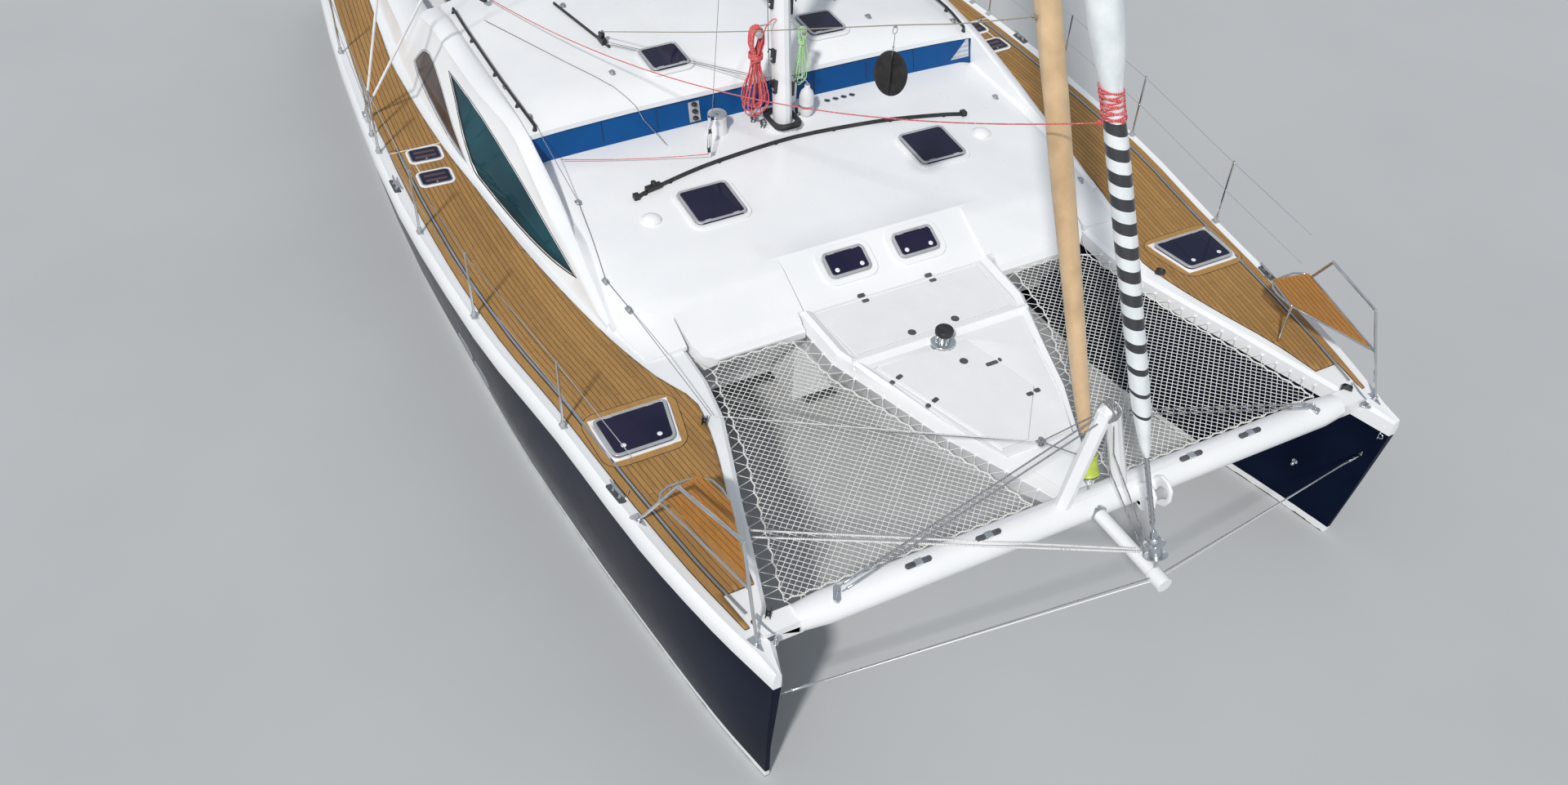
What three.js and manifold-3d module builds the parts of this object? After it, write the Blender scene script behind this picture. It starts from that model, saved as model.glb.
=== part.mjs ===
// Cruising sailing catamaran, afloat, sails furled. Millimetres, +X to the bows, +Y to port, +Z up.
// The origin lies on the waterline, on the centreline, amidships.
import Module from 'manifold-3d';
import * as THREE from 'three';
import { mergeVertices } from 'three/addons/utils/BufferGeometryUtils.js';

const wasm = await Module();
wasm.setup();

// Driving dimensions
const GAP = 0.3;
const BOW_X = 7400;
const TRANSOM_X = -7600;
const SHEER_Z = 1500;
const DECK_Z = 1680;
const TEAK_THICK = 12;
const TUNNEL_HALF = 2300;
const FLOOR_TOP = 660;
const FLOOR_THICK = 100;
const SALOON_AFT_X = -2300;
const WINDSCREEN_X = 830;
const SUNDECK_FRONT_X = 3790;
const ARCH_INNER_Y = 2720;
const WALL = 60;
const MAST_STEP = [1240, 0, 2150];
const MAST_RAKE = 0.12;
const MAST_TOP_Z = 20600;
const BEAM_X = 6980;
const BEAM_Z = 1660;
const BEAM_END_Y = 2830;
const BOOM_Z = 3650;
const BOOM_HALF_HEIGHT = 130;
const RUDDER_X = -6500;
const DRIVE_X = -3600;
const SHAFT_Z = -1020;
const HULL_MID_Y = 3000;
const WHEEL_X = -5620;
const WHEEL_Y = 3050;
const WHEEL_Z = 2200;
const WHEEL_R = 420;
const LID_THICK = 25;
const SIDES = [['starboard', -1], ['port', 1]];

// Hull stations, from the transom to the stem. The hull side is upright at the sheer's inner edge.
const HULL_TABLE = [
  { x: TRANSOM_X, sheer: 3300, waterline: 3180, inner: 2300, innerWater: 2440, keel: -40, rake: 0 },
  { x: -5200, sheer: 3640, waterline: 3480, inner: 2300, innerWater: 2370, keel: -420, rake: 0 },
  { x: -2600, sheer: 3950, waterline: 3680, inner: 2300, innerWater: 2350, keel: -620, rake: 0 },
  { x: 400, sheer: 4105, waterline: 3760, inner: 2300, innerWater: 2350, keel: -660, rake: 0 },
  { x: 2600, sheer: 4000, waterline: 3715, inner: 2300, innerWater: 2400, keel: -650, rake: 0 },
  { x: 4240, sheer: 3770, waterline: 3590, inner: 2300, innerWater: 2470, keel: -610, rake: 0 },
  { x: 5700, sheer: 3600, waterline: 3420, inner: 2660, innerWater: 2740, keel: -540, rake: 20 },
  { x: 6700, sheer: 3410, waterline: 3290, inner: 2950, innerWater: 2980, keel: -440, rake: 80 },
  { x: BOW_X, sheer: 3225, waterline: 3165, inner: 3155, innerWater: 3120, keel: -260, rake: 160 },
];

// Teak side deck, outer and inner edges as [x, y].
const TEAK_OUTER_POINTS = [
  [-6050, 3400], [-3090, 3740], [-1500, 3880], [400, 3950], [1600, 3930], [2900, 3840],
  [4000, 3680], [5000, 3560], [6200, 3385], [6930, 3235],
];
const TEAK_TIP = [[6930, 3195], [6560, 3250]];
const TEAK_INNER_POINTS = [
  [6560, 2975], [6120, 2900], [5390, 2690], [4910, 2575], [4510, 2520],
  [3990, 2720], [3340, 2900], [2590, 3040], [1610, 3180], [430, 3280], [-520, 3360], [-1360, 3385],
  [-2180, 3385], [-3010, 3320], [-3950, 3220], [-6050, 3000],
];

// Cabin side with its arch: foot at the side deck, crown of the arch and its inner face.
const CABIN_SIDE_PARTS = [[
  { x: -5200, foot: 2980, crown: 1930, inner: 2640, lip: 0 },
  { x: -3950, foot: 3140, crown: 1960, inner: 2700, lip: 0 },
  { x: -2420, foot: 3280, crown: 2010, inner: 2720, lip: 0 },
], [
  { x: -2260, foot: 3290, crown: 2370, inner: 2720, lip: 2290 },
  { x: -1700, foot: 3305, crown: 2440, inner: 2720, lip: 2360 },
  { x: -500, foot: 3290, crown: 2440, inner: 2720, lip: 2360 },
  { x: 430, foot: 3210, crown: 2440, inner: 2720, lip: 2360 },
  { x: 800, foot: 3180, crown: 2400, inner: 2720, lip: 2320 },
], [
  { x: 860, foot: 3173, crown: 2385, inner: 2720, lip: 1970 },
  { x: 1610, foot: 3100, crown: 2190, inner: 2720, lip: 1940 },
  { x: 2500, foot: 2985, crown: 1960, inner: 2790, lip: 1860 },
  { x: 3200, foot: 2885, crown: 1760, inner: 2810, lip: 1700 },
]];

// Side windows as [x, z] on the cabin side.
const FORWARD_WINDOW_EDGES = [
  [[-1010, 2225], [-400, 2235], [400, 2160], [1140, 2070], [1810, 1960], [2490, 1830]],
  [
    [2490, 1830], [2060, 1775], [1450, 1745], [960, 1735], [340, 1735],
    [-120, 1870], [-610, 2080], [-1010, 2225],
  ],
];
const AFT_WINDOW_EDGES = [
  [[-1990, 1900], [-1860, 2080], [-1660, 2135], [-1370, 2095], [-690, 1915], [0, 1735]],
  [[0, 1735], [-800, 1770], [-1810, 1860], [-1990, 1900]],
];

// Sundeck moulding and roof: half widths, and the heights there, at the middle and at the centre.
const SUNDECK_TABLE = [
  { x: WINDSCREEN_X, edge: 2719.7, shoulder: 2560, low: 2035, high: 2070, middle: 2090, centre: 2100 },
  { x: 2240, edge: 2719.7, shoulder: 2600, low: 1985, high: 2025, middle: 2050, centre: 2060 },
  { x: 3200, edge: 2809.7, shoulder: 2620, low: 1745, high: 1870, middle: 1960, centre: 1965 },
  { x: 3330, edge: 2797, shoulder: 2480, low: 1722, high: 1868, middle: 1938, centre: 1940 },
  { x: 3420, edge: 2780, shoulder: 2400, low: 1712, high: 1850, middle: 1900, centre: 1902 },
  { x: 3600, edge: 2745, shoulder: 2340, low: 1704, high: 1796, middle: 1822, centre: 1824 },
  { x: SUNDECK_FRONT_X, edge: 2700, shoulder: 2310, low: 1699, high: 1724, middle: 1736, centre: 1738 },
];
const ROOF_TABLE = [
  { x: SALOON_AFT_X, edge: 2719.7, shoulder: 2300, low: 2370, high: 2460, middle: 2530, centre: 2550 },
  { x: -1700, edge: 2719.7, shoulder: 2300, low: 2430, high: 2510, middle: 2590, centre: 2610 },
  { x: 300, edge: 2719.7, shoulder: 2300, low: 2430, high: 2510, middle: 2600, centre: 2620 },
  { x: 600, edge: 2719.7, shoulder: 2300, low: 2410, high: 2480, middle: 2555, centre: 2570 },
  { x: 800, edge: 2719.7, shoulder: 2300, low: 2385, high: 2410, middle: 2435, centre: 2440 },
];
const SHELL_MIDDLE_Y = 1300;
const SHELL_THICK = 55;

// Front of the sundeck: a sloping face between two corners that reach on to the trampolines.
const FACE_TOP = { x: 3195, z: 1966 };
const FACE_FOOT = { x: SUNDECK_FRONT_X, z: 1688 };
const FACE_HALF = 1070;
const CORNER_INNER = 1130.3;
const CORNER_TOE_X = 3972;
const CORNER_PROFILE = [
  [3460, 1862], [SUNDECK_FRONT_X, 1733], [3868, 1697], [3893, 1660], [3955, 1648], [CORNER_TOE_X, 1628],
  [CORNER_TOE_X, 1560], [3300, FLOOR_TOP + GAP], [3215, FLOOR_TOP + GAP], [3450, 1700],
];
const CORNER_RELIEF = [
  [3480, 2292], [3640, 2284], [3770, 2262], [3860, 2225], [3925, 2170], [3965, 2095], [3985, 2000],
  [4100, 2000], [4100, TUNNEL_HALF], [3480, TUNNEL_HALF],
];

// Deck hatches that hinge on a rounded rectangular frame.
const ROOF_HATCH = { x: 270, y: 970, length: 450, width: 450 };
const SUNDECK_HATCH = { x: 2240, y: 1320, length: 560, width: 560 };
const FRONT_HATCH = { x: 3436, y: 402, length: 290, width: 470 };
const HATCH_FRAME = 30;
const HATCH_LEDGE = 35;
const HATCH_RISE = 14;

// Bow hatch outline as [x, y], a trapezium on the side deck.
const BOW_HATCH = [[4340, 2770], [4840, 2870], [4840, 3455], [4340, 3475]];

// Nacelle between the trampolines: half width and underside at each station.
const NACELLE_STATIONS = [
  { x: SUNDECK_FRONT_X + GAP, half: 1130, bottom: 800 },
  { x: 4450, half: 1100, bottom: 860 },
  { x: 5150, half: 860, bottom: 1000 },
  { x: 5730, half: 670, bottom: 1150 },
  { x: 6300, half: 400, bottom: 1300 },
  { x: 6820, half: 170, bottom: 1460 },
];
const RIM_SHARES = [0.985, 0.97, 0.93, 0.87, 0.865];
const RIM_RISE = 55;
const LOCKER_LID = [[3850, -960], [4530, -905], [4530, 860], [3850, 900]];
const ANCHOR_LID = [[4780, -800], [6150, -330], [6150, -60], [5600, 390], [4780, 170]];

// Smooth curves through a table's stations
const SPAN_STEPS = 3;

function fairSlopes(xs, values) {
  const secants = xs.slice(1).map((x, i) => (values[i + 1] - values[i]) / (x - xs[i]));
  return xs.map((_, i) => {
    if (i === 0) return secants[0];
    if (i === xs.length - 1) return secants[i - 1];
    const [before, after] = [secants[i - 1], secants[i]];
    return before * after <= 0 ? 0 : (2 * before * after) / (before + after);
  });
}

// Rows of numbers, the first of each its station, with rows added between them without overshoot.
function fairedRows(rows, steps = SPAN_STEPS) {
  const xs = rows.map((row) => row[0]);
  const slopes = rows[0].map((_, k) => fairSlopes(xs, rows.map((row) => row[k])));
  const between = rows.slice(1).flatMap((next, i) => Array.from({ length: steps }, (_, n) => {
    const share = (n + 1) / steps;
    const span = xs[i + 1] - xs[i];
    const [square, cube] = [share ** 2, share ** 3];
    return next.map((value, k) => (
      rows[i][k] * (2 * cube - 3 * square + 1) + value * (3 * square - 2 * cube)
      + span * (slopes[k][i] * (cube - 2 * square + share) + slopes[k][i + 1] * (cube - square))
    ));
  }));
  return [rows[0], ...between];
}

function faired(table, steps = SPAN_STEPS) {
  const keys = Object.keys(table[0]);
  const rows = fairedRows(table.map((row) => keys.map((key) => row[key])), steps);
  return rows.map((row) => Object.fromEntries(keys.map((key, k) => [key, row[k]])));
}

const HULL_STATIONS = faired(HULL_TABLE);
const SUNDECK_STATIONS = faired(SUNDECK_TABLE);
const ROOF_STATIONS = faired(ROOF_TABLE, 2);
const CABIN_SIDE_STATIONS = CABIN_SIDE_PARTS.flatMap((part) => faired(part));
const TEAK_OUTER = fairedRows(TEAK_OUTER_POINTS);
const TEAK_INNER = [...TEAK_TIP, ...fairedRows(TEAK_INNER_POINTS)];

function windowOutline(edges) {
  return edges.flatMap((edge) => fairedRows(edge, 2).slice(0, -1));
}
const FORWARD_WINDOW = windowOutline(FORWARD_WINDOW_EDGES);
const AFT_WINDOW = windowOutline(AFT_WINDOW_EDGES);

// Materials
function surface(color, roughness, metalness = 0) {
  return new THREE.MeshStandardMaterial({ color, roughness, metalness });
}
const navy = surface(0x0a1428, 0.3);
const gelcoat = surface(0xf0f1f2, 0.4);
const greyDeck = surface(0xd5d8db, 0.6);
const teak = surface(0xb07a3c, 0.7);
const varnish = surface(0xb8692a, 0.4);
const glass = surface(0x1c2b38, 0.1);
const lens = surface(0x231b38, 0.15);
const blueBand = surface(0x0b4f9e, 0.25);
const steel = surface(0xc6cace, 0.25, 1);
const alloy = surface(0xe2e4e6, 0.4, 0.2);
const netting = surface(0xd8d8d2, 0.9);
const tanCloth = surface(0xc49a62, 0.9);
const whiteCloth = surface(0xe8e8e6, 0.85);
const greyCloth = surface(0xb4b2ac, 0.85);
const bronze = surface(0x8a6a3a, 0.4, 1);
const cushion = surface(0xd9d4c8, 0.9);

// Geometry helpers
function solid(geometry) {
  const bare = geometry.clone();
  bare.deleteAttribute('normal');
  bare.deleteAttribute('uv');
  const merged = mergeVertices(bare, 1e-3);
  const vertProperties = new Float32Array(merged.attributes.position.array);
  const triVerts = new Uint32Array(merged.index.array);
  return new wasm.Manifold(new wasm.Mesh({ numProp: 3, vertProperties, triVerts }));
}

function join(...solids) {
  return solids.reduce((sum, next) => sum.add(next));
}

function cut(body, ...tools) {
  return tools.reduce((rest, tool) => rest.subtract(tool), body);
}

function ringNormal(ring) {
  const normal = new THREE.Vector3();
  ring.forEach((point, i) => {
    const next = ring[(i + 1) % ring.length];
    normal.x += (point[1] - next[1]) * (point[2] + next[2]);
    normal.y += (point[2] - next[2]) * (point[0] + next[0]);
    normal.z += (point[0] - next[0]) * (point[1] + next[1]);
  });
  return normal.normalize();
}

function capTriangles(ring) {
  const normal = ringNormal(ring);
  const turn = new THREE.Quaternion().setFromUnitVectors(normal, new THREE.Vector3(0, 0, 1));
  const flat = ring.map((point) => {
    const turned = new THREE.Vector3(...point).applyQuaternion(turn);
    return new THREE.Vector2(turned.x, turned.y);
  });
  return THREE.ShapeUtils.triangulateShape(flat, []).map(([a, b, c]) => {
    const ccw = flat[b].clone().sub(flat[a]).cross(flat[c].clone().sub(flat[a])) > 0;
    return ccw ? [a, b, c] : [a, c, b];
  });
}

function signedVolume(points, index) {
  let sum = 0;
  for (let i = 0; i < index.length; i += 3) {
    const [a, b, c] = [0, 1, 2].map((k) => new THREE.Vector3(...points[index[i + k]]));
    sum += a.dot(b.cross(c));
  }
  return sum / 6;
}

// Closed skin over rings of points, each ring with the same number of points.
function loft(rings) {
  const count = rings[0].length;
  const points = rings.flat();
  const index = [];
  for (let r = 0; r < rings.length - 1; r += 1) {
    for (let k = 0; k < count; k += 1) {
      const a = r * count + k;
      const b = r * count + ((k + 1) % count);
      index.push(a, b, b + count, a, b + count, a + count);
    }
  }
  const last = (rings.length - 1) * count;
  capTriangles(rings[0]).forEach(([a, b, c]) => index.push(a, c, b));
  capTriangles(rings[rings.length - 1]).forEach(([a, b, c]) => index.push(last + a, last + b, last + c));
  if (signedVolume(points, index) < 0) index.reverse();
  const geometry = new THREE.BufferGeometry();
  geometry.setAttribute('position', new THREE.Float32BufferAttribute(points.flat(), 3));
  geometry.setIndex(index);
  return solid(geometry);
}

function extruded(outline, depth, curveSegments = 4) {
  const shape = outline instanceof THREE.Shape
    ? outline
    : new THREE.Shape(outline.map(([u, v]) => new THREE.Vector2(u, v)));
  return new THREE.ExtrudeGeometry(shape, { depth, bevelEnabled: false, curveSegments });
}

// Plate with an [x, y] outline.
function plan(outline, z0, z1) {
  return solid(extruded(outline, z1 - z0).translate(0, 0, z0));
}

// Plate with an [x, z] outline.
function elevation(outline, y0, y1) {
  return solid(extruded(outline, y1 - y0).rotateX(Math.PI / 2).translate(0, y1, 0));
}

// Plate with a [y, z] outline.
function section(outline, x0, x1) {
  const turn = new THREE.Matrix4().makeBasis(
    new THREE.Vector3(0, 1, 0),
    new THREE.Vector3(0, 0, 1),
    new THREE.Vector3(1, 0, 0),
  );
  return solid(extruded(outline, x1 - x0).applyMatrix4(turn).translate(x0, 0, 0));
}

function box(low, high) {
  const size = low.map((value, i) => high[i] - value);
  const middle = low.map((value, i) => (value + high[i]) / 2);
  return solid(new THREE.BoxGeometry(...size).translate(...middle));
}

function rod(from, to, radius, facets = 6, endRadius = radius) {
  const start = new THREE.Vector3(...from);
  const along = new THREE.Vector3(...to).sub(start);
  const geometry = new THREE.CylinderGeometry(endRadius, radius, along.length(), facets);
  geometry.translate(0, along.length() / 2, 0);
  const up = new THREE.Vector3(0, 1, 0);
  geometry.applyQuaternion(new THREE.Quaternion().setFromUnitVectors(up, along.normalize()));
  return solid(geometry.translate(...from));
}

function knob(at, radius) {
  return solid(new THREE.IcosahedronGeometry(radius, 0).translate(...at));
}

// Bent tube through a list of points.
function bentTube(points, radius, facets = 6) {
  const rods = points.slice(1).map((point, i) => rod(points[i], point, radius, facets));
  const bends = points.slice(1, -1).map((point) => knob(point, radius * 1.25));
  return join(...rods, ...bends);
}

function oval(x, y, z, halfX, halfY, count = 12) {
  return Array.from({ length: count }, (_, i) => {
    const angle = (2 * Math.PI * (i + 0.5)) / count;
    return [x + halfX * Math.cos(angle), y + halfY * Math.sin(angle), z];
  });
}

function roundedRectangle(length, width, radius) {
  const shape = new THREE.Shape();
  const [u, v] = [length / 2 - radius, width / 2 - radius];
  const quarter = Math.PI / 2;
  shape.absarc(u, v, radius, 0, quarter);
  shape.absarc(-u, v, radius, quarter, 2 * quarter);
  shape.absarc(-u, -v, radius, 2 * quarter, 3 * quarter);
  shape.absarc(u, -v, radius, 3 * quarter, 4 * quarter);
  return shape;
}

function mirrored(outline, side) {
  return outline.map(([x, y]) => [x, side * y]);
}

function scaledOutline(outline, factor) {
  const middle = [0, 1].map((k) => outline.reduce((sum, point) => sum + point[k], 0) / outline.length);
  return outline.map((point) => point.map((value, k) => middle[k] + (value - middle[k]) * factor));
}

function grownOutline(outline, margin) {
  const middle = [0, 1].map((k) => outline.reduce((sum, point) => sum + point[k], 0) / outline.length);
  return outline.map((point) => point.map((value, k) => value + margin * Math.sign(value - middle[k])));
}

function alongTable(table, x, key) {
  const next = Math.max(1, table.findIndex((row) => row.x >= x));
  const [low, high] = [table[next - 1], table[next]];
  const share = (x - low.x) / (high.x - low.x);
  return low[key] + (high[key] - low[key]) * share;
}

const group = new THREE.Group();

function add(name, body, material) {
  const { vertProperties, triVerts } = body.getMesh();
  const geometry = new THREE.BufferGeometry();
  geometry.setAttribute('position', new THREE.Float32BufferAttribute(vertProperties, 3));
  geometry.setIndex(new THREE.Uint32BufferAttribute(triVerts, 1));
  geometry.computeVertexNormals();
  const mesh = new THREE.Mesh(geometry, material);
  mesh.name = name;
  group.add(mesh);
}

// Hulls
function hullSection(row, side, grow) {
  const middle = (row.waterline + row.innerWater) / 2;
  const flat = Math.min(150, (row.waterline - row.innerWater) * 0.2);
  const points = [
    [row.sheer, SHEER_Z],
    [row.waterline + (row.sheer - row.waterline) * 0.62, 750],
    [row.waterline, 0],
    [middle + (row.waterline - middle) * 0.78, row.keel * 0.62],
    [middle + flat, row.keel],
    [middle - flat, row.keel],
    [middle - (middle - row.innerWater) * 0.78, row.keel * 0.62],
    [row.innerWater, 0],
    [row.inner, 520],
    [row.inner, SHEER_Z],
  ];
  return points.map(([y, z]) => {
    const outward = Math.sign(y - middle) * grow;
    const x = row.x - (row.rake * (SHEER_Z - z)) / SHEER_Z;
    return [x, side * (y + outward), z + (z > 0 ? 0 : -grow)];
  });
}

function hullBody(side, grow = 0) {
  return loft(HULL_STATIONS.map((row) => hullSection(row, side, grow)));
}

function sternSteps() {
  const [aft, forward, wide] = [TRANSOM_X - 100, -6100, 4500];
  const steps = [[forward, 1200], [-6600, 800], [-7100, 400]];
  return join(...steps.map(([x, z]) => box([aft, -wide, z], [x, wide, SHEER_Z + 500])));
}

function stubKeel(side) {
  const rings = [[-600, 1300, 150], [-1330, 1000, 110]].map(([z, half, thick]) => {
    const leading = 200 - (z + 600) * 0.15;
    return [
      [leading + half, side * HULL_MID_Y, z],
      [leading + half * 0.6, side * HULL_MID_Y + thick, z],
      [leading - half * 0.2, side * HULL_MID_Y + thick * 0.9, z],
      [leading - half, side * HULL_MID_Y + 8, z],
      [leading - half, side * HULL_MID_Y - 8, z],
      [leading - half * 0.2, side * HULL_MID_Y - thick * 0.9, z],
      [leading + half * 0.6, side * HULL_MID_Y - thick, z],
    ];
  });
  return loft(rings);
}

function bowHatchWell(side, bottom) {
  return plan(mirrored(scaledOutline(BOW_HATCH, 0.86), side), bottom, DECK_Z + 100);
}

function hull(side) {
  const stockBore = rod([RUDDER_X, side * 2900, -600], [RUDDER_X, side * 2900, -60], 45.5, 24);
  const body = join(hullBody(side), stubKeel(side));
  return cut(body, sternSteps(), stockBore, bowHatchWell(side, 1200));
}

// White deck moulding with its rounded gunwale, standing on the hull.
function deckSection(row, side, grow = 0) {
  const base = SHEER_Z + GAP;
  const width = row.sheer - row.inner;
  return [
    [row.sheer, base],
    [row.sheer + 6, base + 90],
    [row.sheer - Math.min(14, width * 0.1), DECK_Z - 25],
    [row.sheer - Math.min(45, width * 0.3), DECK_Z + 12],
    [row.sheer - Math.min(95, width * 0.5), DECK_Z],
    [row.inner + Math.min(40, width * 0.2), DECK_Z],
    [row.inner - grow, DECK_Z - 30],
    [row.inner - grow, base],
  ].map(([y, z]) => [row.x, side * y, z + grow]);
}

function deckMoulding(side, grow = 0) {
  return loft(HULL_STATIONS.map((row) => deckSection(row, side, grow)));
}

function pedestal(side, grow = 0) {
  return loft([
    oval(-5330, side * WHEEL_Y, DECK_Z - 10, 130 + grow, 190 + grow, 8),
    oval(-5350, side * WHEEL_Y, WHEEL_Z + 220, 90, 150, 8),
  ]);
}

function deck(side) {
  const frame = plan(mirrored(grownOutline(BOW_HATCH, HATCH_FRAME), side), DECK_Z - 10, DECK_Z + 22);
  const aftEnd = box([TRANSOM_X - 10, -4500, SHEER_Z], [-6100, 4500, DECK_Z + 100]);
  const hub = rod([-5540, side * WHEEL_Y, WHEEL_Z], [-5350, side * WHEEL_Y, WHEEL_Z], 55, 12);
  const shaftBore = rod([-5600, side * WHEEL_Y, WHEEL_Z], [-5490, side * WHEEL_Y, WHEEL_Z], 14.5, 16);
  const body = cut(join(deckMoulding(side), frame, pedestal(side)), bowHatchWell(side, 1200), aftEnd);
  return cut(join(body, hub), shaftBore);
}

function teakDeck(side) {
  const outline = mirrored([...TEAK_OUTER, ...TEAK_INNER], side);
  const field = plan(outline, DECK_Z + GAP, DECK_Z + GAP + TEAK_THICK);
  const hatchHole = plan(mirrored(grownOutline(BOW_HATCH, HATCH_FRAME + 2), side), DECK_Z, DECK_Z + 50);
  return cut(field, hatchHole, pedestal(side, 4));
}

function bowHatchLid(side) {
  const base = DECK_Z + 22 + GAP;
  return plan(mirrored(BOW_HATCH, side), base, base + LID_THICK);
}

// Bridge deck floor and its aft beam
function bridgeDeck() {
  const half = TUNNEL_HALF - GAP;
  const outline = [
    [-6100, half], [3300, half], [3300, CORNER_INNER], [SUNDECK_FRONT_X, CORNER_INNER],
    [SUNDECK_FRONT_X, -CORNER_INNER], [3300, -CORNER_INNER], [3300, -half], [-6100, -half],
  ];
  const floor = plan(outline, FLOOR_TOP - FLOOR_THICK, FLOOR_TOP);
  const aftBeam = box([-6100, -half, FLOOR_TOP - 10], [-6000, half, 1250]);
  return join(floor, aftBeam);
}

// Cabin shells. Half of a station's section as [y, z], from the centreline to the edge.
function shellHalf(row) {
  return fairedRows([
    [0, row.centre], [SHELL_MIDDLE_Y, row.middle], [row.shoulder, row.high], [row.edge, row.low],
  ]);
}

function shellRing(row, above, below) {
  const half = shellHalf(row);
  const whole = [...half.slice(1).reverse().map(([y, z]) => [-y, z]), ...half];
  const top = whole.map(([y, z]) => [row.x, y, z + above]);
  const bottom = whole.map(([y, z]) => [row.x, y, z - SHELL_THICK - below]).reverse();
  return [...top, ...bottom];
}

// Shell of a table, thicker by the given amounts above and below where it cuts a neighbour.
function shell(table, above = 0, below = 0) {
  return loft(table.map((row) => shellRing(row, above, below)));
}

function heightOn(table, x, y) {
  const next = Math.max(1, table.findIndex((row) => row.x >= x));
  const rows = [table[next - 1], table[next]];
  const heights = rows.map((row) => {
    const half = shellHalf(row);
    const i = Math.max(1, half.findIndex(([value]) => value >= Math.abs(y)));
    const share = (Math.abs(y) - half[i - 1][0]) / (half[i][0] - half[i - 1][0]);
    return half[i - 1][1] + (half[i][1] - half[i - 1][1]) * share;
  });
  const share = (x - rows[0].x) / (rows[1].x - rows[0].x);
  return heights[0] + (heights[1] - heights[0]) * share;
}

function faceHeight(x) {
  return FACE_TOP.z + ((FACE_FOOT.z - FACE_TOP.z) * (x - FACE_TOP.x)) / (FACE_FOOT.x - FACE_TOP.x);
}

function sundeckHeight(x, y) {
  return x > FACE_TOP.x && Math.abs(y) < FACE_HALF ? faceHeight(x) : heightOn(SUNDECK_STATIONS, x, y);
}

function roofHeight(x, y) {
  return heightOn(ROOF_STATIONS, x, y);
}

// Frame of a hatch on a surface: its local +Z is the surface's normal at the hatch's centre.
function hatchMatrix(height, hatch, side) {
  const [x, y] = [hatch.x, side * hatch.y];
  const step = 100;
  const slopeX = (height(x + step, y) - height(x - step, y)) / (2 * step);
  const slopeY = (height(x, y + step) - height(x, y - step)) / (2 * step);
  const normal = new THREE.Vector3(-slopeX, -slopeY, 1).normalize();
  const across = new THREE.Vector3(1, 0, slopeX).normalize();
  const sideways = normal.clone().cross(across);
  const matrix = new THREE.Matrix4().makeBasis(across, sideways, normal);
  return matrix.setPosition(x, y, height(x, y) + HATCH_RISE);
}

function hatchPlate(hatch, matrix, margin, z0, z1) {
  const shape = roundedRectangle(hatch.length + 2 * margin, hatch.width + 2 * margin, 60 + margin);
  return solid(extruded(shape, z1 - z0, 1).translate(0, 0, z0).applyMatrix4(matrix));
}

function withHatches(body, height, hatches) {
  return hatches.reduce((rest, hatch) => SIDES.reduce((framed, [, side]) => {
    const matrix = hatchMatrix(height, hatch, side);
    const frame = hatchPlate(hatch, matrix, HATCH_FRAME, -HATCH_RISE - 30, 0);
    const hole = hatchPlate(hatch, matrix, -HATCH_LEDGE, -200, 100);
    return cut(join(framed, frame), hole);
  }, rest), body);
}

function hatchLid(height, hatch, side) {
  return hatchPlate(hatch, hatchMatrix(height, hatch, side), 0, GAP, LID_THICK);
}

function elevationOnSide(outline, side, innerY, outerY) {
  const ys = [side * innerY, side * outerY].sort((a, b) => a - b);
  return elevation(outline, ...ys);
}

// Walls that close the bridge deck below the face and the corners.
function sundeckFront(half) {
  const wall = box(
    [SUNDECK_FRONT_X - WALL, -CORNER_INNER, FLOOR_TOP + GAP],
    [SUNDECK_FRONT_X, CORNER_INNER, 1685],
  );
  const cheek = [
    [3215, FLOOR_TOP + GAP], [SUNDECK_FRONT_X, FLOOR_TOP + GAP], [SUNDECK_FRONT_X, 1685], [3450, 1700],
  ];
  const sides = SIDES.flatMap(([, side]) => [
    elevationOnSide(CORNER_PROFILE, side, CORNER_INNER, half),
    elevationOnSide(cheek, side, CORNER_INNER - WALL, CORNER_INNER + 5),
  ]);
  return join(wall, ...sides);
}

function sundeck() {
  const half = TUNNEL_HALF - GAP;
  const face = [
    [FACE_TOP.x - 55, 1945], [FACE_TOP.x, FACE_TOP.z], [FACE_FOOT.x, FACE_FOOT.z],
    [FACE_FOOT.x, FACE_FOOT.z - 60], [FACE_TOP.x - 55, 1885],
  ];
  const overFace = [
    [FACE_TOP.x, FACE_TOP.z], [3860, faceHeight(3860)], [3860, 2300], [FACE_TOP.x, 2300],
  ];
  const recess = elevation(overFace, -FACE_HALF, FACE_HALF);
  const reliefs = SIDES.map(([, side]) => plan(mirrored(CORNER_RELIEF, side), 1250, 2100));
  const overDecks = SIDES.map(([, side]) => {
    const ys = [side * half, side * 3500].sort((a, b) => a - b);
    return box([0, ys[0], DECK_Z - 300], [SUNDECK_FRONT_X + 50, ys[1], DECK_Z + GAP]);
  });
  const shape = join(shell(SUNDECK_STATIONS), sundeckFront(half), elevation(face, -1140, 1140));
  const body = cut(shape, recess, ...reliefs, ...overDecks);
  return withHatches(body, sundeckHeight, [SUNDECK_HATCH, FRONT_HATCH]);
}

function roof() {
  return withHatches(shell(ROOF_STATIONS), roofHeight, [ROOF_HATCH]);
}

function sidePoints(row) {
  const rise = Math.max(30, row.crown - 120 - DECK_Z);
  const shoulder = row.foot - 0.5 * rise;
  return { shoulder, shoulderZ: DECK_Z + rise, crest: Math.max(row.inner + 25, shoulder - 130) };
}

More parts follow.
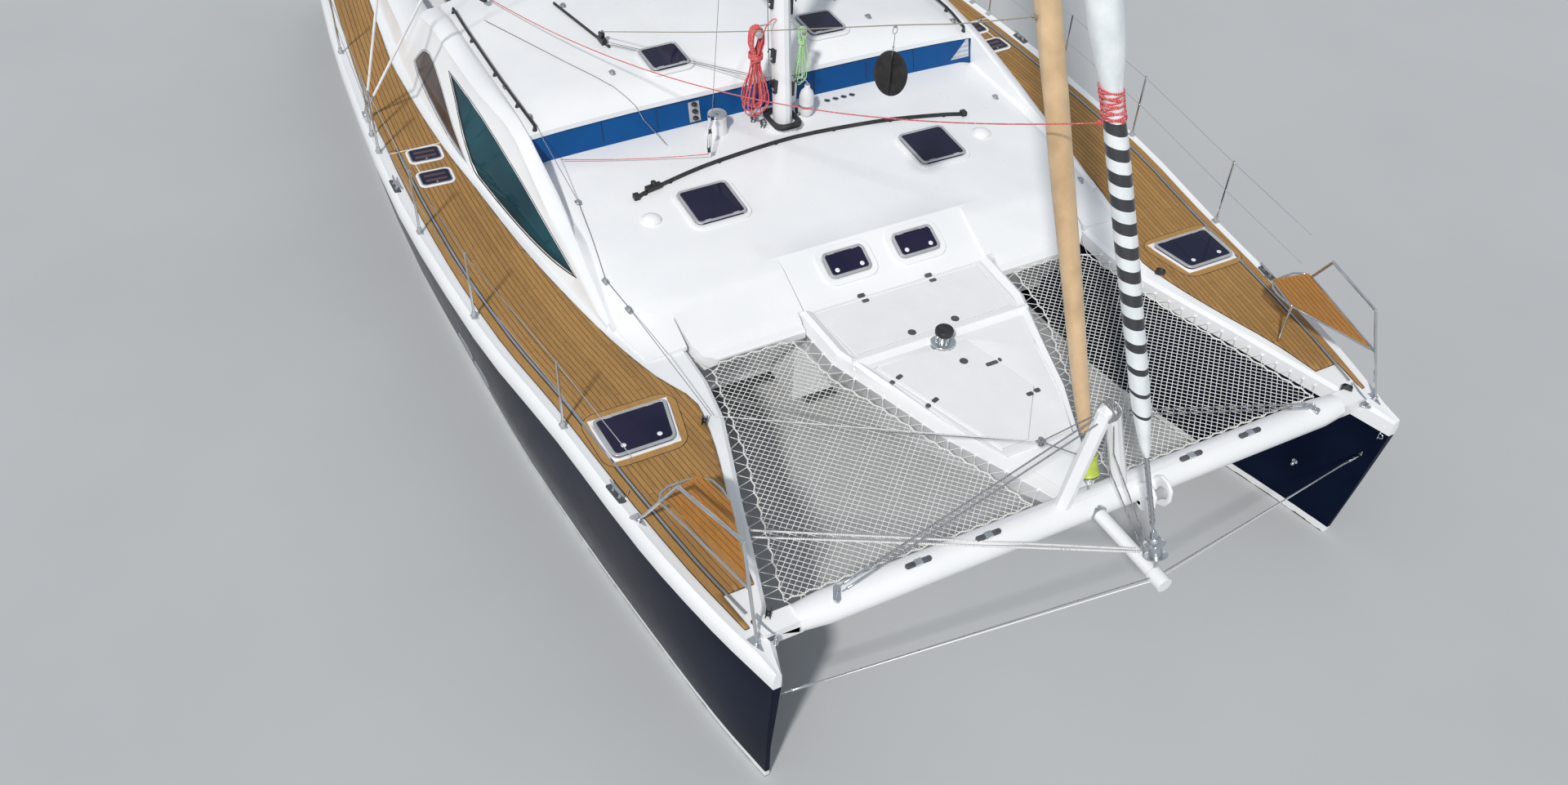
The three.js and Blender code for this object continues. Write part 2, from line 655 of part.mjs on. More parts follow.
function cabinSideOuter(side) {
  return loft(CABIN_SIDE_STATIONS.map((row) => {
    const { shoulder, shoulderZ, crest } = sidePoints(row);
    const [ridge, top] = [(shoulder + crest) / 2 + 10, (crest + row.inner) / 2];
    return [
      [row.foot, DECK_Z + GAP],
      [shoulder, shoulderZ],
      [shoulder * 0.6 + ridge * 0.4 + 8, shoulderZ * 0.5 + (row.crown - 28) * 0.5 + 12],
      [ridge, row.crown - 28],
      [crest, row.crown],
      [top, row.crown + 2],
      [row.inner + (top - row.inner) * 0.3, row.crown - 6],
      [row.inner, row.crown - 24],
      [row.inner, DECK_Z + GAP],
    ].map(([y, z]) => [row.x, side * y, z]);
  }));
}

function cabinSideVoid(side) {
  const rows = CABIN_SIDE_STATIONS.filter((row) => row.lip > 0 && row.x < 3000);
  return loft(rows.map((row) => {
    const { shoulder, shoulderZ, crest } = sidePoints(row);
    const roofInside = Math.min(row.crown - 80, 2360);
    const lipTop = Math.max(row.lip, DECK_Z + 60);
    return [
      [row.foot - WALL, DECK_Z - 5],
      [shoulder - WALL, shoulderZ - 20],
      [Math.max(crest, row.inner + WALL + 20), Math.max(roofInside, lipTop + 1)],
      [row.inner + WALL, Math.max(roofInside, lipTop + 1)],
      [row.inner + WALL, lipTop],
      [row.inner - 20, lipTop],
      [row.inner - 20, DECK_Z - 5],
    ].map(([y, z]) => [row.x, side * y, z]);
  }));
}

function windowCut(outline, side) {
  const ys = [side * 2850, side * 3500].sort((a, b) => a - b);
  return elevation(outline, ...ys);
}

function cabinSide(side) {
  const body = cut(cabinSideOuter(side), cabinSideVoid(side));
  return cut(body, windowCut(FORWARD_WINDOW, side), windowCut(AFT_WINDOW, side));
}

function sideWindow(outline, side) {
  const inset = 12;
  const pane = 14;
  const slab = loft(CABIN_SIDE_STATIONS.map((row) => {
    const { shoulder, shoulderZ } = sidePoints(row);
    const rise = (shoulderZ - DECK_Z) / 0.5;
    const top = row.foot - (0.5 * rise) / 2 - 0.5 * 100;
    const topZ = shoulderZ + 100;
    return [
      [row.foot - inset, DECK_Z],
      [Math.min(top, shoulder - 50) - inset, topZ],
      [Math.min(top, shoulder - 50) - inset - pane, topZ],
      [row.foot - inset - pane, DECK_Z],
    ].map(([y, z]) => [row.x, side * y, z]);
  }));
  return slab.intersect(windowCut(scaledOutline(outline, 0.9995), side));
}

function windscreen() {
  const half = ARCH_INNER_Y - GAP;
  const band = elevation([[850, 2040], [862, 2040], [768, 2400], [756, 2400]], -half, half);
  return cut(band, shell(ROOF_STATIONS, 200, GAP), shell(SUNDECK_STATIONS, GAP, 200));
}

function aftBulkhead() {
  const [low, high] = [TUNNEL_HALF - GAP, ARCH_INNER_Y - GAP];
  const outline = [
    [-low, FLOOR_TOP + GAP], [low, FLOOR_TOP + GAP], [low, DECK_Z + GAP], [high, DECK_Z + GAP],
    [high, 2450], [-high, 2450], [-high, DECK_Z + GAP], [-low, DECK_Z + GAP],
  ];
  const wall = section(outline, SALOON_AFT_X + 40, SALOON_AFT_X + 90);
  const doorway = box([SALOON_AFT_X, -450, FLOOR_TOP + 60], [SALOON_AFT_X + 200, 450, 2330]);
  const window = box([SALOON_AFT_X, -2050, 1500], [SALOON_AFT_X + 200, -650, 2280]);
  const runner = box([SALOON_AFT_X + 5, -500, FLOOR_TOP + GAP], [SALOON_AFT_X + 50, 1400, FLOOR_TOP + 12]);
  return join(cut(wall, doorway, window, shell(ROOF_STATIONS, 200, GAP)), runner);
}

function cabinDoor() {
  const x = SALOON_AFT_X + 15;
  const panel = box([x, -490, FLOOR_TOP + 12 + GAP], [x + 18, 490, 2360]);
  const handle = rod([x - 25, -430, 1500], [x - 25, -430, 1800], 10, 8);
  const stems = [1520, 1780].map((z) => rod([x - 25, -430, z], [x + 5, -430, z], 8, 8));
  return join(panel, handle, ...stems);
}

function saloonSeats() {
  const z = FLOOR_TOP + GAP;
  const along = box([-400, 1350, z], [2600, 1950, z + 430]);
  const front = box([2000, -300, z], [2600, 1950, z + 430]);
  const back = box([2560, -300, z], [2640, 1950, z + 800]);
  const base = box([900, 500, z], [1300, 700, z + 700]);
  const foot = box([900, 500, z], [1300, 1400, z + 40]);
  const top = box([400, 200, z + 700], [1750, 1050, z + 740]);
  return join(along, front, back, base, foot, top);
}

function cockpitSeats() {
  const z = FLOOR_TOP + GAP;
  const aft = box([-5990, -1800, z], [-5400, 1800, z + 420]);
  const side = box([-5990, 1250, z], [-3400, 1800, z + 420]);
  const back = box([-5999, -1800, z], [-5930, 1800, z + 760]);
  return join(aft, side, back);
}

function cockpitCover() {
  const cover = loft([-5250, -3800, -2350].map((x) => {
    const rise = x === -3800 ? 40 : 0;
    return [
      [x, -2450, 2360], [x, -1200, 2420 + rise], [x, 1200, 2420 + rise], [x, 2450, 2360],
      [x, 2450, 2320], [x, 1200, 2380 + rise], [x, -1200, 2380 + rise], [x, -2450, 2320],
    ];
  }));
  const posts = [[-5150, 2420], [-2700, 2420]].flatMap(([x, y]) => SIDES.map(([, side]) => (
    rod([x, side * y, DECK_Z + GAP], [x, side * y, 2340], 24, 8)
  )));
  return join(cover, ...posts);
}

// Foredeck between the hulls
function nacelle() {
  const rings = NACELLE_STATIONS.map((row) => [
    [row.half, 1590], [row.half - 35, 1655], [row.half - 90, DECK_Z], [90 - row.half, DECK_Z],
    [35 - row.half, 1655], [-row.half, 1590], [-row.half * 0.72, row.bottom], [row.half * 0.72, row.bottom],
  ].map(([y, z]) => [row.x, y, z]));
  const ledge = loft([[4570, 0], [4600, 55], [4640, 60], [4690, 0]].map(([x, rise]) => [
    [x, -1010, DECK_Z - 20], [x, 1010, DECK_Z - 20], [x, 985, DECK_Z + rise], [x, -985, DECK_Z + rise],
  ]));
  const rimRises = [-80, RIM_RISE * 0.4, RIM_RISE, RIM_RISE * 0.3, -80];
  const rims = SIDES.map(([, side]) => loft(NACELLE_STATIONS.map((row) => (
    RIM_SHARES.map((share, i) => [row.x, side * row.half * share, DECK_Z + rimRises[i]])
  ))));
  const locker = plan(scaledOutline(LOCKER_LID, 0.86), 1250, 1800);
  const anchorWell = plan(scaledOutline(ANCHOR_LID, 0.86), 1330, 1800);
  const windlass = join(
    rod([4730, -60, DECK_Z - 20], [4730, -60, DECK_Z + 45], 110, 12),
    rod([4730, -60, DECK_Z], [4730, -60, DECK_Z + 170], 55, 12),
    rod([4730, -60, DECK_Z + 150], [4730, -60, DECK_Z + 180], 85, 12),
  );
  return join(cut(join(loft(rings), ledge, ...rims), locker, anchorWell), windlass);
}

function lockerLid() {
  return plan(LOCKER_LID, DECK_Z + GAP, DECK_Z + GAP + LID_THICK);
}

function anchorLid() {
  const dodge = rod([4730, -60, DECK_Z - 50], [4730, -60, DECK_Z + 400], 125, 16);
  return cut(plan(ANCHOR_LID, DECK_Z + GAP, DECK_Z + GAP + LID_THICK), dodge);
}

function beamTube(grow = 0) {
  const ring = (y, scale) => oval(0, 0, 0, 150 * scale + grow, 125 * scale + grow, 12)
    .map(([x, z]) => [BEAM_X + x, y, BEAM_Z + z]);
  const shoulder = BEAM_END_Y - 250;
  return loft([ring(-BEAM_END_Y, 0.8), ring(-shoulder, 1), ring(shoulder, 1), ring(BEAM_END_Y, 0.8)]);
}

function crossbeam() {
  const brackets = SIDES.map(([, side]) => {
    const ys = [side * (BEAM_END_Y - 40), side * 3150].sort((a, b) => a - b);
    return box([BEAM_X - 90, ys[0], BEAM_Z - 80], [BEAM_X + 90, ys[1], BEAM_Z + 70]);
  });
  const struts = SIDES.map(([, side]) => (
    bentTube([[BEAM_X, side * 310, BEAM_Z + 60], [BEAM_X - 60, side * 40, 2690]], 70, 10)
  ));
  const apex = knob([BEAM_X - 60, 0, 2700], 95);
  const sides = SIDES.flatMap(([, side]) => [
    hullBody(side, GAP), deckMoulding(side, GAP), deckMoulding(side),
  ]);
  return cut(join(beamTube(), ...brackets, ...struts, apex), ...sides);
}

function spritCap(grow = 0) {
  return rod([7840 - 3 * grow, 0, 1680], [7990, 0, 1680], 72 + 3 * grow, 12);
}

function bowsprit() {
  const tip = [7970, 0, 1680];
  const pole = rod([BEAM_X, 0, BEAM_Z], tip, 60, 12);
  const guys = SIDES.map(([, side]) => rod([7900, 0, 1660], [7260, side * 3110, 1180], 6, 6));
  const hulls = SIDES.map(([, side]) => hullBody(side, GAP));
  return cut(join(pole, spritCap(), ...guys), beamTube(GAP), ...hulls);
}

function trampoline(side) {
  const [low, high] = [1585, 1597];
  const net = [
    [4010, 1290], [3990, 1400], [3990, 2040], [4080, 2160], [4660, 2270], [5160, 2360], [6500, 2730],
    [6740, 2800], [6750, 420], [6280, 560], [5760, 780], [5180, 980], [4700, 1190], [4400, 1240],
  ];
  const lacing = [
    [[4020, 1700], [CORNER_TOE_X + GAP, 1700]],
    [[4500, 2200], [4500, 2600]],
    [[5600, 2440], [5600, 2900]],
    [[6300, 2600], [6300, 3050]],
    [[6700, 1700], [6900, 1700]],
    [[6700, 2500], [6900, 2500]],
    [[6700, 800], [6900, 800]],
    [[5100, 1050], [5100, 800]],
    [[4300, 1300], [4300, 1000]],
    [[6200, 650], [6200, 350]],
  ].map(([from, to]) => rod([from[0], side * from[1], 1591], [to[0], side * to[1], 1591], 5, 6));
  return join(plan(mirrored(net, side), low, high), ...lacing);
}

// Rig
function mastX(z) {
  return MAST_STEP[0] - MAST_RAKE * (z - MAST_STEP[2]);
}

function mastTube(grow = 0) {
  const levels = [[1900, 1], [12000, 1], [MAST_TOP_Z, 0.6]];
  return loft(levels.map(([z, scale]) => oval(mastX(z), 0, z, 135 * scale + grow, 100 * scale + grow)));
}

const PIN_X = mastX(BOOM_Z) - 230;

function mast() {
  const step = rod([MAST_STEP[0], 0, 1900], [MAST_STEP[0], 0, 2150], 190, 12);
  const spreaderZ = 9600;
  const spreaderTip = (side) => [mastX(spreaderZ) - 250, side * 1050, spreaderZ + 40];
  const spreaders = SIDES.map(([, side]) => (
    rod([mastX(spreaderZ), side * 60, spreaderZ], spreaderTip(side), 26, 8)
  ));
  const diamonds = SIDES.flatMap(([, side]) => {
    const tip = spreaderTip(side);
    return [
      rod([mastX(4200), side * 80, 4200], tip, 5, 6),
      rod(tip, [mastX(15800), side * 60, 15800], 5, 6),
    ];
  });
  const [earLow, earHigh] = [BOOM_Z - 100, BOOM_Z + 100];
  const ears = [earLow, earHigh].map((z) => (
    box([PIN_X - 45, -40, z - 10], [mastX(z) - 60, 40, z + 10])
  ));
  const pin = rod([PIN_X, 0, earLow], [PIN_X, 0, earHigh], 16, 16);
  const topX = mastX(MAST_TOP_Z);
  const crane = box([topX - 260, -45, MAST_TOP_Z - 60], [topX + 60, 45, MAST_TOP_Z + 30]);
  const body = join(mastTube(), step, ...spreaders, ...diamonds, ...ears, pin, crane);
  return cut(body, shell(SUNDECK_STATIONS, GAP, 500));
}

function boom() {
  const knuckle = rod([PIN_X, 0, BOOM_Z - 84], [PIN_X, 0, BOOM_Z + 84], 45, 16);
  const bore = rod([PIN_X, 0, BOOM_Z - 120], [PIN_X, 0, BOOM_Z + 120], 16.4, 16);
  const neck = box([PIN_X - 200, -30, BOOM_Z - 70], [PIN_X - 30, 30, BOOM_Z + 70]);
  const spar = loft([[PIN_X - 160, 0.8], [PIN_X - 400, 1], [-4700, 1], [-4950, 0.8]].map(([x, scale]) => (
    oval(0, 0, 0, 90 * scale, BOOM_HALF_HEIGHT * scale).map(([y, z]) => [x, y, BOOM_Z + z])
  )));
  return cut(join(knuckle, neck, spar), bore);
}

function sailBag() {
  const rows = [[400, 120, 330], [-200, 190, 520], [-3000, 190, 440], [-4650, 130, 300]];
  const base = BOOM_Z + BOOM_HALF_HEIGHT * Math.cos(Math.PI / 12) + GAP;
  return loft(rows.map(([x, half, high]) => [
    [-95, 0], [-half, 0.35], [-half * 0.6, 0.85], [0, 1], [half * 0.6, 0.85], [half, 0.35], [95, 0],
  ].map(([y, share]) => [x, y, base + high * share])));
}

// Rolled sail on its stay, widths given along the stay as [height, radius].
function furledSail(tack, head, widths, drum, link) {
  const at = (z) => tack[0] + ((head[0] - tack[0]) * (z - tack[2])) / (head[2] - tack[2]);
  const roll = loft(widths.map(([z, radius]) => oval(at(z), 0, z, radius * 1.1, radius, 10)));
  const stay = rod(tack, head, 9, 6);
  const drumBody = rod([at(drum[0]), 0, drum[0]], [at(drum[1]), 0, drum[1]], drum[2], 12);
  return join(roll, stay, drumBody, link);
}

function furledGenoa() {
  const tack = [6930, 0, 1860];
  const head = [mastX(17700) + 135, 0, 17700];
  const widths = [[2300, 55], [2600, 72], [4000, 92], [5500, 108], [9500, 112], [14500, 70], [17000, 24]];
  const link = rod([6950, 0, BEAM_Z + 110], tack, 22, 8);
  return join(furledSail(tack, head, widths, [1930, 2100, 78], link));
}

function furledScreecher() {
  const tack = [7840, 0, 1800];
  const head = [mastX(18300) + 132, 0, 18300];
  const widths = [
    [2640, 30], [2780, 60], [3100, 88], [5000, 96], [5060, 150], [6500, 150], [11000, 120], [17500, 26],
  ];
  const link = rod([7860, 0, 1752 + GAP], tack, 20, 8);
  return join(furledSail(tack, head, widths, [1860, 2010, 62], link));
}

function shroud(side) {
  const foot = [-1300, side * 3985, DECK_Z + 10];
  const head = [mastX(17400), side * 60, 17400];
  const plate = box(
    [foot[0] - 60, Math.min(foot[1] - 12, foot[1] + 12), DECK_Z - 20],
    [foot[0] + 60, Math.max(foot[1] - 12, foot[1] + 12), DECK_Z + 90],
  );
  const lowerHead = [mastX(9000), side * 60, 9000];
  const cap = rod([foot[0] + 25, foot[1], DECK_Z + 60], head, 7, 6);
  const lower = rod([foot[0] - 25, foot[1], DECK_Z + 60], lowerHead, 6, 6);
  return join(plate, cap, lower);
}

// Guard rails
const PULPIT = {
  foreFoot: [7090, 3210], foreTop: [6750, 3180, 2510], aftTop: [6020, 3380, 2480], aftFoot: [5550, 3530],
  seatAft: [5700, 3040, 2130], seatInner: [6070, 2950, 2130], seatTip: [6850, 3175, 2130],
};

function onSide([x, y, z], side) {
  return [x, side * y, z];
}

function pulpit(side, radius = 15) {
  const base = DECK_Z + TEAK_THICK + 2 * GAP;
  const place = (point) => onSide(point, side);
  const { foreFoot, foreTop, aftTop, aftFoot, seatAft, seatInner, seatTip } = PULPIT;
  const hoop = bentTube([[...foreFoot, DECK_Z + 8], foreTop, aftTop, [...aftFoot, base]].map(place), radius);
  const seatRail = bentTube([[5770, 3440, 2080], seatAft, seatInner, seatTip].map(place), radius * 0.8);
  const tipLink = rod(place(seatTip), place([6915, 3194, 2130]), radius * 0.8, 8);
  const post = rod(place(seatInner), place([6070, 2950, base]), radius * 0.8, 8);
  return join(hoop, seatRail, tipLink, post);
}

function pulpitSeat(side) {
  const outline = [[5700, 3040], [6070, 2950], [6840, 3172], [6400, 3270], [5780, 3420]];
  const base = PULPIT.seatInner[2] + 8;
  return cut(plan(mirrored(outline, side), base, base + 22), pulpit(side, 15 + GAP));
}

const STANCHIONS = [-6000, -4600, -2900, -970, -610, 1000, 2510, 4260];
const LIFELINE_HEIGHTS = [400, 740];

function gunwaleY(x) {
  return alongTable(HULL_STATIONS, x, 'sheer') - 62;
}

function lifelines(side) {
  const base = DECK_Z + 10;
  const at = (x, height) => [x, side * gunwaleY(x), base + height];
  const posts = STANCHIONS.map((x) => rod(at(x, 0), at(x, 760), 13));
  const feet = STANCHIONS.map((x) => rod(at(x, -30), at(x, 60), 22));
  const ends = [...STANCHIONS, 5560];
  const wires = LIFELINE_HEIGHTS.flatMap((height) => (
    ends.slice(1).map((x, i) => rod(at(ends[i], height), at(x, height), 4, 4))
  ));
  const pushpit = bentTube([
    [-6000, side * gunwaleY(-6000), base + 740],
    [-6060, side * 3300, base + 740],
    [-6060, side * 2700, base + 740],
    [-6060, side * 2700, base],
  ], 13);
  const body = join(...posts, ...feet, ...wires, pushpit);
  return cut(body, pulpit(side, 15 + GAP));
}

// Underwater gear and steering
function rudder(side) {
  const y = side * 2900;
  const stock = rod([RUDDER_X, y, -400], [RUDDER_X, y, -70], 45, 24);
  const blade = loft([[-300, 300, 48], [-1400, 210, 30]].map(([z, half, thick]) => [
    [RUDDER_X + half * 0.7, y, z],
    [RUDDER_X + half * 0.3, y + thick, z],
    [RUDDER_X - half * 0.4, y + thick * 0.8, z],
    [RUDDER_X - half * 1.3, y, z],
    [RUDDER_X - half * 0.4, y - thick * 0.8, z],
    [RUDDER_X + half * 0.3, y - thick, z],
  ]));
  return join(stock, blade);
}

function foil(x, y, z, half, thick) {
  return [
    [x + half, y, z], [x + half * 0.4, y + thick, z], [x - half * 0.4, y + thick, z],
    [x - half, y, z], [x - half * 0.4, y - thick, z], [x + half * 0.4, y - thick, z],
  ];
}

function saildrive(side, hullBodies) {
  const y = side * HULL_MID_Y;
  const leg = loft([foil(DRIVE_X, y, -450, 190, 60), foil(DRIVE_X - 20, y, SHAFT_Z + 10, 130, 45)]);
  const podRadii = [[190, 10], [100, 62], [-150, 68], [-210, 55]];
  const pod = loft(podRadii.map(([along, radius]) => (
    oval(0, 0, 0, radius, radius).map(([a, b]) => [DRIVE_X + along, y + a, SHAFT_Z + b])
  )));
  const bore = rod([DRIVE_X - 230, y, SHAFT_Z], [DRIVE_X - 130, y, SHAFT_Z], 12.5, 16);
  return cut(join(leg, pod), bore, ...hullBodies);
}

function propeller(side) {
  const y = side * HULL_MID_Y;
  const [front, back] = [DRIVE_X - 216, DRIVE_X - 340];
  const pin = rod([DRIVE_X - 150, y, SHAFT_Z], [front - 20, y, SHAFT_Z], 12, 16);
  const hub = rod([front, y, SHAFT_Z], [back, y, SHAFT_Z], 52, 12, 30);
  const blades = [0, 1, 2].map((k) => {
    const blade = new THREE.BoxGeometry(18, 110, 190).translate(0, 0, 125).rotateZ(0.5);
    return solid(blade.rotateX((k * 2 * Math.PI) / 3).translate((front + back) / 2, y, SHAFT_Z));
  });
  return join(pin, hub, ...blades);
}

function helmWheel(side) {
  const y = side * WHEEL_Y;
  const tube = 15;
  const circle = Array.from({ length: 7 }, (_, i) => {
    const angle = (i * Math.PI) / 3;
    return new THREE.Vector2(WHEEL_R + tube * Math.cos(angle), tube * Math.sin(angle));
  });
  const place = (geometry) => solid(geometry.rotateZ(-Math.PI / 2).translate(WHEEL_X, y, WHEEL_Z));
  const rim = place(new THREE.LatheGeometry(circle, 20));
  const hub = rod([WHEEL_X - 25, y, WHEEL_Z], [-5545 - 2, y, WHEEL_Z], 45, 12);
  const shaft = rod([WHEEL_X, y, WHEEL_Z], [-5500, y, WHEEL_Z], 14, 16);
  const spokes = [0, 1, 2, 3, 4].map((k) => {
    const angle = (k * 2 * Math.PI) / 5;
    const end = [WHEEL_X, y + WHEEL_R * Math.sin(angle), WHEEL_Z + WHEEL_R * Math.cos(angle)];
    return rod([WHEEL_X, y, WHEEL_Z], end, 9, 6);
  });
  return join(rim, hub, shaft, ...spokes);
}

// Assembly
const hullCutters = SIDES.map(([, side]) => hullBody(side, GAP));
const deckCutters = SIDES.flatMap(([, side]) => [deckMoulding(side), deckMoulding(side, GAP)]);

SIDES.forEach(([name, side]) => {
  add(`hull_${name}`, hull(side), navy);
  add(`deck_${name}`, deck(side), gelcoat);
  add(`teak_deck_${name}`, teakDeck(side), teak);
  add(`bow_hatch_${name}`, bowHatchLid(side), lens);
  add(`cabin_side_${name}`, cabinSide(side), gelcoat);
  add(`forward_window_${name}`, sideWindow(FORWARD_WINDOW, side), glass);
  add(`aft_window_${name}`, sideWindow(AFT_WINDOW, side), glass);
  add(`sundeck_hatch_${name}`, hatchLid(sundeckHeight, SUNDECK_HATCH, side), lens);
  add(`front_hatch_${name}`, hatchLid(sundeckHeight, FRONT_HATCH, side), lens);
  add(`roof_hatch_${name}`, hatchLid(roofHeight, ROOF_HATCH, side), lens);
  const net = cut(trampoline(side), ...hullCutters, ...deckCutters, beamTube(GAP), nacelle());
  add(`trampoline_${name}`, net, netting);
  add(`shroud_${name}`, cut(shroud(side), mastTube(GAP), ...deckCutters), steel);
  add(`pulpit_${name}`, pulpit(side), steel);
  add(`pulpit_seat_${name}`, pulpitSeat(side), varnish);
  add(`lifelines_${name}`, cut(lifelines(side), ...deckCutters), steel);
  add(`rudder_${name}`, rudder(side), navy);
  add(`saildrive_${name}`, saildrive(side, hullCutters), greyDeck);
  add(`propeller_${name}`, propeller(side), bronze);
  add(`helm_wheel_${name}`, helmWheel(side), steel);
});
add('bridge_deck', bridgeDeck(), gelcoat);
add('sundeck', sundeck(), gelcoat);
add('roof', roof(), gelcoat);
add('windscreen', windscreen(), blueBand);
add('aft_bulkhead', aftBulkhead(), gelcoat);
add('cabin_door', cabinDoor(), glass);
add('saloon_seats', saloonSeats(), cushion);
add('cockpit_seats', cockpitSeats(), cushion);
add('cockpit_cover', cockpitCover(), greyCloth);
add('nacelle', nacelle(), gelcoat);
add('locker_lid', lockerLid(), greyDeck);
add('anchor_lid', anchorLid(), greyDeck);
add('crossbeam', crossbeam(), gelcoat);
add('bowsprit', bowsprit(), alloy);
add('mast', mast(), alloy);
add('boom', boom(), alloy);
add('sail_bag', sailBag(), whiteCloth);
add('furled_genoa', cut(furledGenoa(), mastTube(GAP), beamTube(GAP)), tanCloth);
add('furled_screecher', cut(furledScreecher(), mastTube(GAP), spritCap(GAP)), whiteCloth);

export default group;
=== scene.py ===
# Cruising sailing catamaran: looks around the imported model. Metres, +X to the bows, +Y to port, +Z up.
import math
import random

import bmesh
import bpy
from mathutils import Matrix, Vector
from mathutils.bvhtree import BVHTree


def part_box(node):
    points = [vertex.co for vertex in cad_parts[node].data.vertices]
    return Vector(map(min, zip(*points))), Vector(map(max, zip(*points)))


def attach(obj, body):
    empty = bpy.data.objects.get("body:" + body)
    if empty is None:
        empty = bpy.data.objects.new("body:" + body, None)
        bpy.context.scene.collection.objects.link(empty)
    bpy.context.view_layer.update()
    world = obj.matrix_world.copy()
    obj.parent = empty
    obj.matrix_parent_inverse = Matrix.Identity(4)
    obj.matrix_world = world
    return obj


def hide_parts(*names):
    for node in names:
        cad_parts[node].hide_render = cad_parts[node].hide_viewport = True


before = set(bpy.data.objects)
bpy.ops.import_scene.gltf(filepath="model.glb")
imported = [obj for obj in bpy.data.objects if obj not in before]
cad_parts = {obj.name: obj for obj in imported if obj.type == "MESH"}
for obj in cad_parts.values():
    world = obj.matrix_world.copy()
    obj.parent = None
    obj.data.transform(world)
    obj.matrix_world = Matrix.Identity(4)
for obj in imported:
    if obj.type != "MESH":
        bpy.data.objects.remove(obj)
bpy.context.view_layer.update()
random.seed(7)
UP = Vector((0, 0, 1))
DOWN = Vector((0, 0, -1))
SIDES = (("starboard", -1), ("port", 1))

# Driving dimensions, the same as the solids'
DECK_Z = 1.68
TEAK_TOP = 1.6923
MAST_STEP = Vector((1.24, 0, 2.15))
MAST_RAKE = 0.12
MASTHEAD_Z = 20.4
BEAM_X = 6.98
BEAM_Z = 1.66
BOOM_Z = 3.65
WATERLINE_STRIPE = 0.09
STRIPE_FOOT = 0.035
STERN_STEP_X = -6.03
STERN_WHITE_FOOT = 0.32

# Camera as solved from the symmetric deck; its turns in degrees, applied in this order
LENS_MM, SENSOR_MM = 31.18, 36
CAMERA_AT = (12.547, -6.178, 10.155)
CAMERA_TURNS = ((60.5436, "Z"), (46.8059, "X"), (3.1228, "Z"))
SUN_TOWARD = (0.73, -0.77, 1.05)
SUN_ENERGY, SUN_DEGREES, SUN_COLOR = 2.7, 4, (1.0, 0.97, 0.93)
SKY_COLOR, SKY_STRENGTH = (0.78, 0.85, 0.95), 0.5
FLOOR_HALF = 60


# Camera, light and floor
def place_camera():
    data = bpy.data.cameras.new("camera")
    data.lens = LENS_MM
    data.sensor_width = SENSOR_MM
    data.sensor_fit = "HORIZONTAL"
    data.clip_end = 300
    camera = bpy.data.objects.new("camera", data)
    bpy.context.collection.objects.link(camera)
    first, second, third = (Matrix.Rotation(math.radians(degrees), 4, axis) for degrees, axis in CAMERA_TURNS)
    camera.matrix_world = Matrix.Translation(CAMERA_AT) @ (first @ second @ third)
    bpy.context.scene.camera = camera


def place_light():
    sun = bpy.data.lights.new("key", "SUN")
    sun.energy = SUN_ENERGY
    sun.angle = math.radians(SUN_DEGREES)
    sun.color = SUN_COLOR
    key = bpy.data.objects.new("key", sun)
    key.rotation_euler = Vector(SUN_TOWARD).to_track_quat("Z", "Y").to_euler()
    bpy.context.collection.objects.link(key)
    world = bpy.data.worlds.new("studio")
    world.use_nodes = True
    background = world.node_tree.nodes["Background"]
    background.inputs["Color"].default_value = rgb(SKY_COLOR)
    background.inputs["Strength"].default_value = SKY_STRENGTH
    bpy.context.scene.world = world
    bpy.context.scene.view_settings.view_transform = "Standard"


# Materials
def node(tree, kind, inputs=None, **settings):
    made = tree.nodes.new(kind)
    for key, value in settings.items():
        setattr(made, key, value)
    for key, value in (inputs or {}).items():
        socket = made.inputs[key]
        if isinstance(value, bpy.types.NodeSocket):
            tree.links.new(value, socket)
        else:
            socket.default_value = value
    return made


def rgb(color):
    return (*color, 1)


class Finish:
    """A Principled material with its tree, coordinates and small helpers."""

    def __init__(self, name, **constants):
        self.material = bpy.data.materials.new(name)
        self.material.use_nodes = True
        self.tree = self.material.node_tree
        self.shader = self.tree.nodes["Principled BSDF"]
        self.place = node(self.tree, "ShaderNodeTexCoord").outputs["Object"]
        for key, value in constants.items():
            self.shader.inputs[key.replace("_", " ")].default_value = value

    def stretched(self, scale):
        return node(self.tree, "ShaderNodeMapping", {"Vector": self.place, "Scale": scale}).outputs["Vector"]

    def noise(self, scale, detail=4, stretch=None, rough=0.55):
        at = self.stretched(stretch) if stretch else self.place
        inputs = {"Vector": at, "Scale": scale, "Detail": detail, "Roughness": rough}
        return node(self.tree, "ShaderNodeTexNoise", inputs).outputs["Fac"]

    def ramp(self, value, stops):
        made = node(self.tree, "ShaderNodeValToRGB", {"Fac": value})
        elements = made.color_ramp.elements
        while len(elements) < len(stops):
            elements.new(0.5)
        for element, (place, color) in zip(elements, stops):
            element.position = place
            element.color = rgb(color)
        return made.outputs["Color"]

    def mix(self, share, low, high, blend="MIX"):
        inputs = {0: share, 6: low, 7: high}
        return node(self.tree, "ShaderNodeMix", inputs, data_type="RGBA", blend_type=blend).outputs[2]

    def math(self, operation, a, b=0.0):
        return node(self.tree, "ShaderNodeMath", {0: a, 1: b}, operation=operation).outputs[0]

    def tones(self, noise, dark, light, low=0.3, high=0.7):
        """Two tones in clouds of a noise."""
        return self.ramp(noise, [(low, dark), (high, light)])

    def span(self, value, low, high):
        inputs = {"Value": value, "To Min": low, "To Max": high}
        return node(self.tree, "ShaderNodeMapRange", inputs).outputs["Result"]

    def link(self, key, value):
        self.tree.links.new(value, self.shader.inputs[key])

    def bump(self, height, strength, distance=0.002):
        inputs = {"Height": height, "Strength": strength, "Distance": distance}
        self.link("Normal", node(self.tree, "ShaderNodeBump", inputs).outputs["Normal"])

    def axis(self, name):
        return node(self.tree, "ShaderNodeSeparateXYZ", {"Vector": self.place}).outputs[name]


